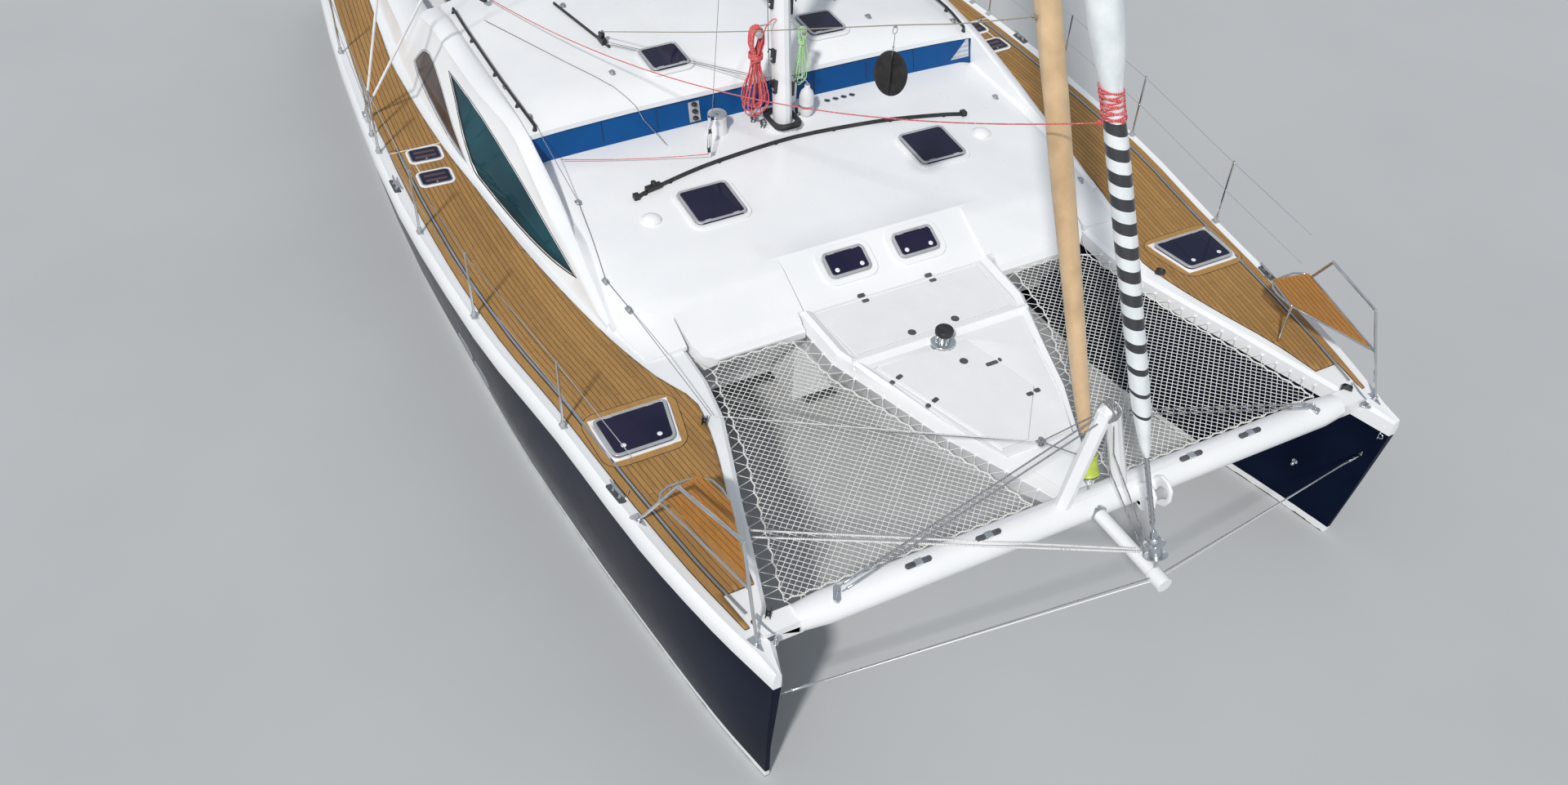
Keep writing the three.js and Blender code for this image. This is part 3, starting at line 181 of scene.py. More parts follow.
def plain(name, dark, light, scale, rough, bump=0.1, fine=220, metallic=0.0, **constants):
    """Two close tones in soft clouds, uneven gloss and a fine grain."""
    made = Finish(name, Metallic=metallic, **constants)
    clouds = made.noise(scale)
    made.link("Base Color", made.tones(clouds, dark, light))
    made.link("Roughness", made.span(made.noise(scale * 5), *rough))
    made.bump(made.noise(fine, 2), bump, 0.0015)
    return made.material


def hull_paint():
    """Navy topsides over a white boot stripe and dull weed, with white stern steps."""
    made = Finish("hull_paint", Specular_IOR_Level=0.08, IOR=1.25)
    height = made.axis("Z")
    wobble = made.math("MULTIPLY", made.noise(7), 0.05)
    navy = made.tones(made.noise(1.3), (0.002, 0.004, 0.014), (0.004, 0.009, 0.026))
    weed = made.tones(made.noise(9, 8), (0.012, 0.014, 0.010), (0.055, 0.048, 0.020), 0.35)
    low = made.math("GREATER_THAN", made.math("ADD", height, wobble), STRIPE_FOOT)
    high = made.math("GREATER_THAN", height, WATERLINE_STRIPE)
    striped = made.mix(high, rgb((0.78, 0.80, 0.80)), navy)
    facing = node(made.tree, "ShaderNodeSeparateXYZ", {
        "Vector": node(made.tree, "ShaderNodeTexCoord").outputs["Normal"]}).outputs["Y"]
    inner = made.math("LESS_THAN", made.math("ABSOLUTE", facing), 0.6)
    aft = made.math("LESS_THAN", made.axis("X"), STERN_STEP_X)
    stepped = made.math("MULTIPLY", made.math("MULTIPLY", inner, aft),
                        made.math("GREATER_THAN", height, STERN_WHITE_FOOT))
    white = made.tones(made.noise(1.5), (0.78, 0.795, 0.81), (0.86, 0.87, 0.88))
    striped = made.mix(stepped, striped, white)
    made.link("Base Color", made.mix(low, weed, striped))
    made.link("Roughness", made.mix(high, rgb((0.55, 0.55, 0.55)), made.span(made.noise(4), 0.16, 0.26)))
    made.bump(made.noise(3, 2), 0.05, 0.008)
    return made.material


def planking(name, dark, light, rough, tone_share=0.45):
    """Oiled wood: long grain, a tone for each board, grey where feet pass."""
    made = Finish(name, Specular_IOR_Level=0.35)
    grain = made.noise(170, 6, (0.035, 1, 1), 0.6)
    broad = made.noise(1.2, 3)
    tone = node(made.tree, "ShaderNodeAttribute", attribute_name="tone").outputs["Fac"]
    wood = made.ramp(grain, [(0.30, dark), (0.52, [(a + b) / 2 for a, b in zip(dark, light)]), (0.72, light)])
    toned = made.mix(made.math("MULTIPLY", tone, tone_share), wood, rgb([0.52 * value for value in dark]))
    worn = made.ramp(broad, [(0.45, (1, 1, 1)), (0.8, (0.86, 0.87, 0.88))])
    made.link("Base Color", made.mix(1.0, toned, worn, "MULTIPLY"))
    made.link("Roughness", made.span(grain, *rough))
    made.bump(grain, 0.25, 0.0012)
    return made.material


def nonskid(name, dark, light):
    """Moulded deck tread: close raised grains on pale gelcoat."""
    made = Finish(name, Specular_IOR_Level=0.3)
    made.link("Base Color", made.tones(made.noise(2.2), dark, light))
    made.link("Roughness", made.span(made.noise(12), 0.55, 0.75))
    inputs = {"Vector": made.place, "Scale": 160}
    grains = node(made.tree, "ShaderNodeTexVoronoi", inputs).outputs["Distance"]
    made.bump(grains, 0.35, 0.002)
    return made.material


def woven(name, dark, light, scale=900, folds=0.0):
    """Cloth with crossed threads, soft clouds of tone and, where asked, slack folds."""
    made = Finish(name, Sheen_Weight=0.3, Sheen_Roughness=0.5)
    made.link("Base Color", made.tones(made.noise(3.5, 6), dark, light, high=0.72))
    made.link("Roughness", made.span(made.noise(20), 0.75, 0.92))
    waves = [
        node(made.tree, "ShaderNodeTexWave", {"Vector": made.place, "Scale": scale / 6}, bands_direction=axis)
        for axis in ("Z", "DIAGONAL")
    ]
    threads = made.math("ADD", waves[0].outputs["Fac"], waves[1].outputs["Fac"])
    creases = made.math("MULTIPLY", made.noise(5, 5, (1, 1, 0.35)), folds * 20)
    made.bump(made.math("ADD", threads, creases), 0.3, 0.002)
    return made.material


def rope_finish(name, dark, light, fleck):
    """Braided rope: slanting strands with a coloured fleck."""
    made = Finish(name, Sheen_Weight=0.2)
    wave = node(
        made.tree, "ShaderNodeTexWave",
        {"Vector": made.place, "Scale": 28.0, "Distortion": 2.0, "Detail": 2.0}, bands_direction="DIAGONAL",
    ).outputs["Fac"]
    base = made.tones(wave, dark, light, 0.25, 0.75)
    flecks = made.math("GREATER_THAN", made.noise(95, 1), 0.62)
    made.link("Base Color", made.mix(flecks, base, rgb(fleck)))
    made.link("Roughness", made.span(made.noise(40), 0.7, 0.9))
    made.bump(wave, 0.5, 0.002)
    return made.material


def banded_sail():
    """Sun cover of the forward sail: black and white turns below the lashing, white above."""
    made = Finish("banded_sail", Sheen_Weight=0.2)
    height = made.axis("Z")
    slant = made.math("MULTIPLY", made.axis("Y"), 0.12)
    turns = made.math("FRACT", made.math("MULTIPLY", made.math("ADD", height, slant), 6.1))
    inputs = {"Value": height, "From Min": 3.1, "From Max": 3.7, "To Min": 0.14, "To Max": 0.50}
    black = made.math("LESS_THAN", turns, node(made.tree, "ShaderNodeMapRange", inputs).outputs["Result"])
    part = made.math("MULTIPLY", made.math("LESS_THAN", height, 5.0), made.math("GREATER_THAN", height, 2.9))
    banded = made.math("MULTIPLY", black, part)
    cloth = made.tones(made.noise(6, 6), (0.62, 0.665, 0.68), (0.77, 0.80, 0.815))
    made.link("Base Color", made.mix(banded, cloth, rgb((0.030, 0.032, 0.038))))
    made.link("Roughness", made.span(made.noise(20), 0.55, 0.8))
    made.bump(made.noise(14, 5, (1, 1, 0.4)), 0.5, 0.012)
    return made.material


def glazing(name, dark, light, coat=0.15):
    """Tinted pane: deep colour in slow clouds under a clear gloss."""
    made = Finish(name, Coat_Weight=coat, Coat_Roughness=0.02, IOR=1.3, Specular_IOR_Level=0.35)
    made.link("Base Color", made.tones(made.noise(1.1, 2), dark, light, 0.35, 0.68))
    made.link("Roughness", made.span(made.noise(6), 0.04, 0.10))
    return made.material


def painted_shade_mesh():
    """Pale grey mesh with close round holes: painted shade and reflection of a recess wall, with the holes
    painted dark.
    """
    made = Finish("painted_shade_mesh")
    holes = node(made.tree, "ShaderNodeTexVoronoi", {"Vector": made.place, "Scale": 75.0, "Randomness": 0.0})
    inside = made.math("LESS_THAN", holes.outputs["Distance"], 0.34)
    cloth = made.tones(made.noise(8), (0.46, 0.49, 0.53), (0.58, 0.61, 0.65))
    made.link("Base Color", made.mix(inside, cloth, rgb((0.10, 0.14, 0.20))))
    made.link("Roughness", made.span(made.noise(20), 0.6, 0.8))
    made.bump(inside, -0.4, 0.002)
    return made.material


def build_finishes():
    gel = plain(
        "gelcoat", (0.80, 0.815, 0.83), (0.875, 0.885, 0.895), 0.9, (0.22, 0.38), 0.03, 60, Coat_Weight=0.35,
        Coat_Roughness=0.12,
    )
    return {
        "navy_hull": hull_paint(),
        "gelcoat": gel,
        "grey_deck": nonskid("grey_deck", (0.775, 0.785, 0.79), (0.83, 0.835, 0.84)),
        "teak": planking("teak", (0.325, 0.172, 0.052), (0.505, 0.285, 0.096), (0.55, 0.8), 0.3),
        "varnished_teak": planking("varnished_teak", (0.31, 0.130, 0.024), (0.54, 0.245, 0.052),
                                   (0.25, 0.45)),
        "caulk": plain("caulk", (0.030, 0.022, 0.015), (0.055, 0.040, 0.028), 12, (0.5, 0.7), 0.2),
        "tinted_glass": glazing("tinted_glass", (0.004, 0.034, 0.050), (0.010, 0.070, 0.092)),
        "aft_glass": glazing("aft_glass", (0.060, 0.042, 0.036), (0.125, 0.095, 0.085)),
        "hatch_lens": glazing("hatch_lens", (0.006, 0.008, 0.030), (0.022, 0.016, 0.048), coat=0.3),
        "blue_band": plain("blue_band", (0.001, 0.058, 0.210), (0.002, 0.082, 0.275), 1.2, (0.28, 0.4),
                           0.02, 40, Specular_IOR_Level=0.3),
        "stainless": plain("stainless", (0.62, 0.64, 0.66), (0.78, 0.80, 0.82), 6, (0.08, 0.2), 0.03,
                           metallic=1.0),
        "alloy": plain("alloy", (0.72, 0.74, 0.76), (0.84, 0.85, 0.87), 2, (0.25, 0.42), 0.05),
        "anodised": plain("anodised", (0.36, 0.38, 0.41), (0.50, 0.52, 0.55), 5, (0.3, 0.45), 0.05,
                          metallic=0.7),
        "netting": rope_finish("netting", (0.55, 0.55, 0.52), (0.86, 0.86, 0.83), (0.74, 0.74, 0.70)),
        "tan_cloth": woven("tan_cloth", (0.51, 0.345, 0.185), (0.73, 0.53, 0.315), folds=0.5),
        "white_cloth": banded_sail(),
        "sail_cover": woven("sail_cover", (0.52, 0.51, 0.49), (0.66, 0.65, 0.63), folds=0.6),
        "grey_cloth": woven("grey_cloth", (0.40, 0.39, 0.375), (0.52, 0.51, 0.49), folds=0.3),
        "bronze": plain("bronze", (0.33, 0.22, 0.09), (0.50, 0.36, 0.17), 10, (0.3, 0.5), 0.1, metallic=0.9),
        "cushion": woven("cushion", (0.58, 0.54, 0.47), (0.72, 0.68, 0.60), folds=0.2),
        "cushion_piping": woven("cushion_piping", (0.30, 0.27, 0.22), (0.40, 0.36, 0.30)),
        "cover_cloth": woven("cover_cloth", (0.50, 0.49, 0.47), (0.60, 0.59, 0.565), 700, folds=0.15),
        "painted_shade_mesh": painted_shade_mesh(),
        "white_vinyl": plain("white_vinyl", (0.72, 0.73, 0.73), (0.84, 0.845, 0.84), 6, (0.3, 0.5), 0.08),
        "lens_blind": glazing("lens_blind", (0.085, 0.055, 0.062), (0.13, 0.085, 0.092)),
        "black": plain("black_fitting", (0.010, 0.010, 0.011), (0.035, 0.035, 0.037), 9, (0.35, 0.55), 0.15),
        "black_cloth": woven("black_cloth", (0.012, 0.012, 0.013), (0.04, 0.04, 0.042)),
        "red_rope": rope_finish("red_rope", (0.50, 0.035, 0.045), (0.80, 0.13, 0.14), (0.86, 0.42, 0.40)),
        "green_rope": rope_finish("green_rope", (0.30, 0.56, 0.22), (0.55, 0.85, 0.45), (0.82, 0.95, 0.72)),
        "tan_rope": rope_finish("tan_rope", (0.22, 0.19, 0.13), (0.42, 0.38, 0.28), (0.16, 0.15, 0.12)),
        "grey_rope": rope_finish("grey_rope", (0.13, 0.135, 0.15), (0.34, 0.345, 0.36), (0.06, 0.07, 0.11)),
        "white_rope": rope_finish("white_rope", (0.55, 0.55, 0.53), (0.85, 0.85, 0.83), (0.40, 0.42, 0.46)),
        "hatch_rim": plain("hatch_rim", (0.42, 0.44, 0.465), (0.54, 0.56, 0.585), 5, (0.3, 0.45), 0.05,
                           metallic=0.35),
        "dark_fitting": plain("dark_fitting", (0.055, 0.060, 0.070), (0.105, 0.112, 0.125), 8, (0.4, 0.6),
                              0.1),
        "lime": plain("lime_drum", (0.40, 0.50, 0.06), (0.56, 0.66, 0.12), 9, (0.3, 0.5), 0.1),
        "foot_grey": plain("foot_grey", (0.34, 0.35, 0.36), (0.46, 0.47, 0.48), 8, (0.4, 0.6), 0.1),
    }


def floor_finish():
    made = Finish("floor", Specular_IOR_Level=0.2)
    made.link("Base Color", made.tones(made.noise(0.2), (0.46, 0.475, 0.485), (0.50, 0.515, 0.525)))
    made.link("Roughness", made.span(made.noise(2), 0.75, 0.9))
    return made.material


# Geometry helpers
def placed(point, turn, axis="Z"):
    """Matrix that turns about one axis and then moves to a point."""
    return Matrix.Translation(point) @ Matrix.Rotation(turn, 4, axis)


def angles(count):
    """Even angles round a full turn."""
    return [2 * math.pi * k / count for k in range(count)]


def shares(count):
    """Even shares from 0 to 1, both included."""
    return [k / count for k in range(count + 1)]


def link_object(name, mesh):
    made = bpy.data.objects.new(name, mesh)
    bpy.context.collection.objects.link(made)
    return made


def shade(mesh, angle=35, merge=0.0002):
    """Smooth shading with edges kept sharp above an angle."""
    work = bmesh.new()
    work.from_mesh(mesh)
    if merge:
        bmesh.ops.remove_doubles(work, verts=work.verts, dist=merge)
    limit = math.radians(angle)
    for edge in work.edges:
        edge.smooth = len(edge.link_faces) == 2 and edge.calc_face_angle(0) < limit
    for face in work.faces:
        face.smooth = True
    work.to_mesh(mesh)
    work.free()


def face_outward(mesh):
    """All faces' normals turned to the outside."""
    work = bmesh.new()
    work.from_mesh(mesh)
    bmesh.ops.recalc_face_normals(work, faces=work.faces)
    work.to_mesh(mesh)
    work.free()


class Shape:
    """Points and faces of one piece, gathered from simple swept forms."""

    def __init__(self):
        self.points = []
        self.faces = []
        self.tones = []

    def add(self, points, faces, tone=0.0):
        base = len(self.points)
        self.points += [Vector(point) for point in points]
        self.faces += [[base + index for index in face] for face in faces]
        self.tones += [tone] * len(faces)

    def rings(self, rings, caps=True, tone=0.0):
        """Skin over closed rings of points."""
        count = len(rings[0])
        faces = []
        for row in range(len(rings) - 1):
            for k in range(count):
                a, b = row * count + k, row * count + (k + 1) % count
                faces.append((a, b, b + count, a + count))
        if caps:
            faces.append(tuple(reversed(range(count))))
            faces.append(tuple(range((len(rings) - 1) * count, len(rings) * count)))
        self.add([point for ring in rings for point in ring], faces, tone)

    def tube(self, path, radius, sides=8, loop=False, caps=True, flat=1.0):
        """Round tube along points; radius is a number or one for each point."""
        path = [Vector(point) for point in path]
        radii = radius if isinstance(radius, (list, tuple)) else [radius] * len(path)
        count = len(path)
        side = None
        rings = []
        for i, point in enumerate(path):
            ahead = path[(i + 1) % count] if loop or i + 1 < count else point
            behind = path[i - 1] if loop or i else point
            along = (ahead - behind).normalized()
            if side is None:
                side = along.cross(UP if abs(along.z) < 0.9 else Vector((1, 0, 0))).normalized()
            side = (side - along * side.dot(along)).normalized()
            across = along.cross(side)
            rings.append([
                point + (side * math.cos(turn) + across * math.sin(turn) * flat) * radii[i]
                for turn in angles(sides)
            ])
        if loop:
            rings.append(rings[0])
        self.rings(rings, caps=caps and not loop)

    def turned(self, base, axis, profile, sides=20):
        """Body of revolution from (height, radius) pairs along an axis."""
        axis = Vector(axis).normalized()
        side = axis.cross(UP if abs(axis.z) < 0.9 else Vector((1, 0, 0))).normalized()
        across = axis.cross(side)
        rings = [
            [
                Vector(base) + axis * height + (side * math.cos(turn) + across * math.sin(turn)) * radius
                for turn in angles(sides)
            ]
            for height, radius in profile
        ]
        self.rings(rings)

    def disc(self, base, axis, radius, thickness, sides):
        """Flat-ended round of one radius."""
        self.turned(base, axis, [(0, radius), (thickness, radius)], sides)

    def block(self, low, high, turn=None, tone=0.0):
        corners = [Vector((x, y, z))
                   for x in (low[0], high[0]) for y in (low[1], high[1]) for z in (low[2], high[2])]
        if turn:
            corners = [turn @ corner for corner in corners]
        faces = [(0, 1, 3, 2), (4, 6, 7, 5), (0, 4, 5, 1), (2, 3, 7, 6), (0, 2, 6, 4), (1, 5, 7, 3)]
        self.add(corners, faces, tone)

    def slab(self, outline, low, high, turn=None):
        """Plate with an [x, y] outline between two heights."""
        count = len(outline)
        points = [Vector((x, y, z)) for z in (low, high) for x, y in outline]
        if turn:
            points = [turn @ point for point in points]
        faces = [tuple(reversed(range(count))), tuple(range(count, 2 * count))]
        faces += [(k, (k + 1) % count, (k + 1) % count + count, k + count) for k in range(count)]
        self.add(points, faces)

    def ball(self, centre, radius, sides=12, squash=1.0):
        steps = sides // 2
        profile = [
            (-radius * squash * math.cos(math.pi * k / steps),
             max(radius * math.sin(math.pi * k / steps), 1e-4))
            for k in range(steps + 1)
        ]
        self.turned(centre, UP, profile, sides)

    def made(self, name, finish, body="boat", slot=None, angle=35, bevel=0.0, merge=0.0002):
        """The piece itself, in its finish and riding on its body."""
        mesh = bpy.data.meshes.new(name)
        mesh.from_pydata(self.points, [], self.faces)
        if any(self.tones):
            tone = mesh.attributes.new("tone", "FLOAT", "FACE")
            tone.data.foreach_set("value", self.tones)
        face_outward(mesh)
        shade(mesh, angle, merge)
        piece = link_object(name, mesh)
        if bevel:
            rounded(piece, bevel)
        return dress(piece, finish, body)


def dress(piece, finish, body="boat"):
    piece.data.materials.clear()
    piece.data.materials.append(FINISHES[finish])
    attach(piece, body)
    return piece


def rounded(piece, width):
    bevel = piece.modifiers.new("rounding", "BEVEL")
    bevel.width = width
    bevel.segments = 2
    bevel.limit_method = "ANGLE"
    bevel.angle_limit = math.radians(38)
    bevel.harden_normals = False


def skin(name, finish, body, bevel):
    """A node's own shape with rounded edges and smooth shading, shown in its place."""
    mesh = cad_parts[name].data.copy()
    mesh.materials.clear()
    if "custom_normal" in mesh.attributes:
        mesh.attributes.remove(mesh.attributes["custom_normal"])
    shade(mesh)
    piece = link_object(name + "_skin", mesh)
    if bevel:
        rounded(piece, bevel)
    dress(piece, finish, body)
    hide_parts(name)


def surface_of(*names):
    """Ray caster over the shapes of some nodes."""
    points, faces = [], []
    for name in names:
        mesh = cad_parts[name].data
        base = len(points)
        points += [vertex.co.copy() for vertex in mesh.vertices]
        faces += [[base + index for index in polygon.vertices] for polygon in mesh.polygons]
    return BVHTree.FromPolygons(points, faces)


def below(surface, x, y, above=4.0):
    """Point on the first surface met going down, or None."""
    return surface.ray_cast(Vector((x, y, above)), DOWN)[0]


def top_at(surface, x, y, above=4.0):
    """Point and upward normal on the first surface met going down."""
    point, normal, _, _ = surface.ray_cast(Vector((x, y, above)), DOWN)
    if point is None:
        return Vector((x, y, DECK_Z)), UP
    return point, normal if normal.z > 0 else -normal


def upright(point, ahead, normal):
    """Matrix at a point with +X ahead and +Z along the normal."""
    matrix = Matrix((ahead, normal.cross(ahead), normal)).transposed().to_4x4()
    matrix.translation = point
    return matrix


def standing(surface, x, y, turn=0.0):
    """Matrix whose +Z is the surface's normal there and whose +X is turned from the bow."""
    point, normal = top_at(surface, x, y)
    forward = Vector((math.cos(turn), math.sin(turn), 0))
    return upright(point, (forward - normal * forward.dot(normal)).normalized(), normal)


def fair_slopes(xs, values):
    """Slopes at the stations that let a curve pass without overshoot."""
    secants = [(values[i + 1] - values[i]) / (xs[i + 1] - xs[i]) for i in range(len(xs) - 1)]
    slopes = [secants[0]]
    for before, after in zip(secants, secants[1:]):
        slopes.append(0 if before * after <= 0 else 2 * before * after / (before + after))
    return slopes + [secants[-1]]


def faired(rows, steps=3):
    """Rows of numbers with rows added between them on smooth curves, as the solids have."""
    xs = [row[0] for row in rows]
    slopes = [fair_slopes(xs, [row[k] for row in rows]) for k in range(len(rows[0]))]
    made = [list(rows[0])]
    for i, following in enumerate(rows[1:]):
        span = xs[i + 1] - xs[i]
        for n in range(steps):
            t = (n + 1) / steps
            square, cube = t * t, t ** 3
            made.append([
                rows[i][k] * (2 * cube - 3 * square + 1) + value * (3 * square - 2 * cube)
                + span * (slopes[k][i] * (cube - 2 * square + t) + slopes[k][i + 1] * (cube - square))
                for k, value in enumerate(following)
            ])
    return made


def along(rows, x):
    """Value at station x of rows of (station, value)."""
    for low, high in zip(rows, rows[1:]):
        if min(low[0], high[0]) <= x <= max(low[0], high[0]):
            share = (x - low[0]) / ((high[0] - low[0]) or 1)
            return low[1] + (high[1] - low[1]) * share
    ends = sorted(rows)
    return ends[0][1] if x < ends[0][0] else ends[-1][1]


def rounded_rectangle(length, width, radius, steps=5):
    """Outline round the origin, with a quarter circle at each corner."""
    points = []
    for cx, cy, start in ((1, 1, 0), (-1, 1, 90), (-1, -1, 180), (1, -1, 270)):
        for k in range(steps + 1):
            turn = math.radians(start + 90 * k / steps)
            points.append((
                cx * (length / 2 - radius) + radius * math.cos(turn),
                cy * (width / 2 - radius) + radius * math.sin(turn),
            ))
    return points


def banded(shape, outer, inner, low, high, turn=None):
    """Flat ring between two outlines with the same number of points."""
    loops = [
        [Vector((x, y, z)) for x, y in outline]
        for outline, z in ((outer, low), (outer, high), (inner, high), (inner, low), (outer, low))
    ]
    if turn:
        loops = [[turn @ point for point in loop] for loop in loops]
    shape.rings(loops, caps=False)


def winding(outline):
    """1 for an outline that runs anticlockwise, else -1."""
    return 1 if sum(a[0] * b[1] - b[0] * a[1] for a, b in zip(outline, outline[1:] + outline[:1])) > 0 else -1


def polygon_offset(outline, amount):
    """Outline moved outward by an amount, corners mitred."""
    count = len(outline)
    sign = winding(outline)
    moved = []
    for i in range(count):
        before, here, after = (Vector(outline[j % count]) for j in (i - 1, i, i + 1))
        first = (here - before).normalized()
        second = (after - here).normalized()
        normals = [Vector((edge.y, -edge.x)) * sign for edge in (first, second)]
        middle = (normals[0] + normals[1]).normalized()
        scale = amount / max(0.35, middle.dot(normals[0]))
        moved.append(tuple(here + middle * scale))
    return moved


def round_corners(outline, reach):
    """Outline with a soft arc in place of each corner."""
    made = []
    count = len(outline)
    for i in range(count):
        before, here, after = (Vector(outline[j % count]) for j in (i - 1, i, i + 1))
        start = here + (before - here).normalized() * reach
        end = here + (after - here).normalized() * reach
        made += [tuple(start.lerp(here, t).lerp(here.lerp(end, t), t)) for t in shares(5)]
    return made


def sagging(start, end, sag, steps):
    """Points of a slack line between its ends."""
    start, end = Vector(start), Vector(end)
    return [start.lerp(end, share) - UP * sag * 4 * share * (1 - share) for share in shares(steps)]


def mast_x(z):
    """Where the raked mast's centre is at a height."""
    return MAST_STEP.x - MAST_RAKE * (z - MAST_STEP.z)


place_camera()
place_light()
FINISHES = build_finishes()


def make_floor():
    mesh = bpy.data.meshes.new("floor")
    corners = [(x * FLOOR_HALF, y * FLOOR_HALF, 0) for x, y in ((-1, -1), (1, -1), (1, 1), (-1, 1))]
    mesh.from_pydata(corners, [], [(0, 1, 2, 3)])
    floor = link_object("floor", mesh)
    mesh.materials.append(floor_finish())


make_floor()


# Solids shown in their own form: finish and edge rounding of each
BODY_OF = {"boom": "boom", "sail_bag": "boom", "cabin_door": "cabin_door", "locker_lid": "locker_lid",
           "anchor_lid": "anchor_lid"}
MOVING = ("bow_hatch", "sundeck_hatch", "front_hatch", "roof_hatch", "rudder", "propeller", "helm_wheel")
SKINS = {
    "hull": ("navy_hull", 0.012), "deck": ("gelcoat", 0.008), "cabin_side": ("gelcoat", 0.012),
    "bridge_deck": ("gelcoat", 0.01), "sundeck": ("gelcoat", 0.012), "roof": ("gelcoat", 0.012),
    "windscreen": ("blue_band", 0), "aft_bulkhead": ("gelcoat", 0.006), "cabin_door": ("tinted_glass", 0.003),
    "saloon_seats": ("gelcoat", 0.015), "cockpit_seats": ("gelcoat", 0.02),
    "nacelle": ("gelcoat", 0.012), "locker_lid": ("grey_deck", 0.004), "anchor_lid": ("grey_deck", 0.004),
    "crossbeam": ("gelcoat", 0.012), "bowsprit": ("gelcoat", 0.003),
    "mast": ("alloy", 0), "boom": ("alloy", 0.01),
    "forward_window": ("tinted_glass", 0), "aft_window": ("aft_glass", 0), "bow_hatch": ("hatch_lens", 0.005),
    "sundeck_hatch": ("hatch_lens", 0.005), "front_hatch": ("hatch_lens", 0.005),
    "roof_hatch": ("hatch_lens", 0.005), "shroud": ("stainless", 0), "pulpit": ("stainless", 0),
    "lifelines": ("stainless", 0), "rudder": ("foot_grey", 0.006), "saildrive": ("foot_grey", 0.006),
    "propeller": ("bronze", 0.003), "helm_wheel": ("stainless", 0), "teak_deck": ("caulk", 0),
    "pulpit_seat": ("varnished_teak", 0.004), "sail_bag": ("sail_cover", 0.03),
}
REBUILT = ("trampoline", "furled_genoa", "furled_screecher", "cockpit_cover")


def stem_of(name):
    for tail in ("_starboard", "_port"):
        if name.endswith(tail):
            return name[: -len(tail)]
    return name


def carry_over():
    for name in sorted(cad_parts):
        stem = stem_of(name)
        if stem in REBUILT:
            continue
        finish, bevel = SKINS[stem]
        body = name if stem in MOVING else BODY_OF.get(name, "boat")
        skin(name, finish, body, bevel)


carry_over()

# Side decks of laid planks
TEAK_OUTER = faired([
    (-6.05, 3.40), (-3.09, 3.74), (-1.5, 3.88), (0.4, 3.95), (1.6, 3.93), (2.9, 3.84), (4.0, 3.68),
    (5.0, 3.56), (6.2, 3.385), (6.93, 3.235),
])
TEAK_X = (-6.1, 7.0)
TEAK_DEPTH = 1.25
TEAK_CUT_Z = (1.62, 1.75)
PLANK_PITCH = 0.05
PLANK_GAP = 0.0058
BOARD_LENGTHS = (1.9, 3.4)
OUTER_BOARD = 0.075
TRACK_BAND = (0.083, 0.113)
TRACK_X = (-0.55, 6.80)
BOW_HATCH = [(4.34, 2.77), (4.84, 2.87), (4.84, 3.455), (4.34, 3.475)]
BOW_HATCH_CORNER = 0.07
TEAK_DIVIDERS = (((-0.515, 3.36), (-0.503, 3.93)), ((-0.24, 3.722), (-0.03, 3.732)))


def bow_hatch_outline(side):
    return round_corners([(x, side * y) for x, y in BOW_HATCH], BOW_HATCH_CORNER)


def plank_run(shape, side, low, high, start, end, z0, z1):
    """One row of boards between two offsets from the outer edge, with butt joints."""
    x = start
    while x < end:
        stop = min(end, x + random.uniform(*BOARD_LENGTHS))
        count = max(2, round((stop - x) / 0.16))
        rings = []
        for k in range(count + 1):
            at = x + (stop - x - 0.004) * k / count
            edge = along(TEAK_OUTER, at)
            ys = (side * (edge - low), side * (edge - high))
            rings.append([(at, ys[0], z0), (at, ys[0], z1), (at, ys[1], z1), (at, ys[1], z0)])
        shape.rings(rings, tone=random.uniform(0.05, 1.0))
        x = stop


def cut_to(piece, cutter, operation):
    """Boolean of a piece with a closed cutter, applied to its mesh."""
    boolean = piece.modifiers.new("cut", "BOOLEAN")
    boolean.operation = operation
    boolean.object = cutter
    boolean.solver = "EXACT"
    bpy.context.view_layer.update()
    shown = piece.evaluated_get(bpy.context.evaluated_depsgraph_get())
    mesh = bpy.data.meshes.new_from_object(shown)
    piece.modifiers.clear()
    piece.data = mesh
    bpy.data.objects.remove(cutter)


def as_cutter(shape):
    """A closed shape as an object for cut_to."""
    mesh = bpy.data.meshes.new("cutter")
    mesh.from_pydata(shape.points, [], shape.faces)
    face_outward(mesh)
    return link_object("cutter", mesh)


def teak_cutter(side_name):
    """The teak field's outline as a tall block."""
    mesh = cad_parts["teak_deck_" + side_name].data.copy()
    middle = (DECK_Z + TEAK_TOP) / 2
    for vertex in mesh.vertices:
        vertex.co.z = TEAK_CUT_Z[vertex.co.z > middle]
    shade(mesh, 30)
    return link_object("cutter", mesh)


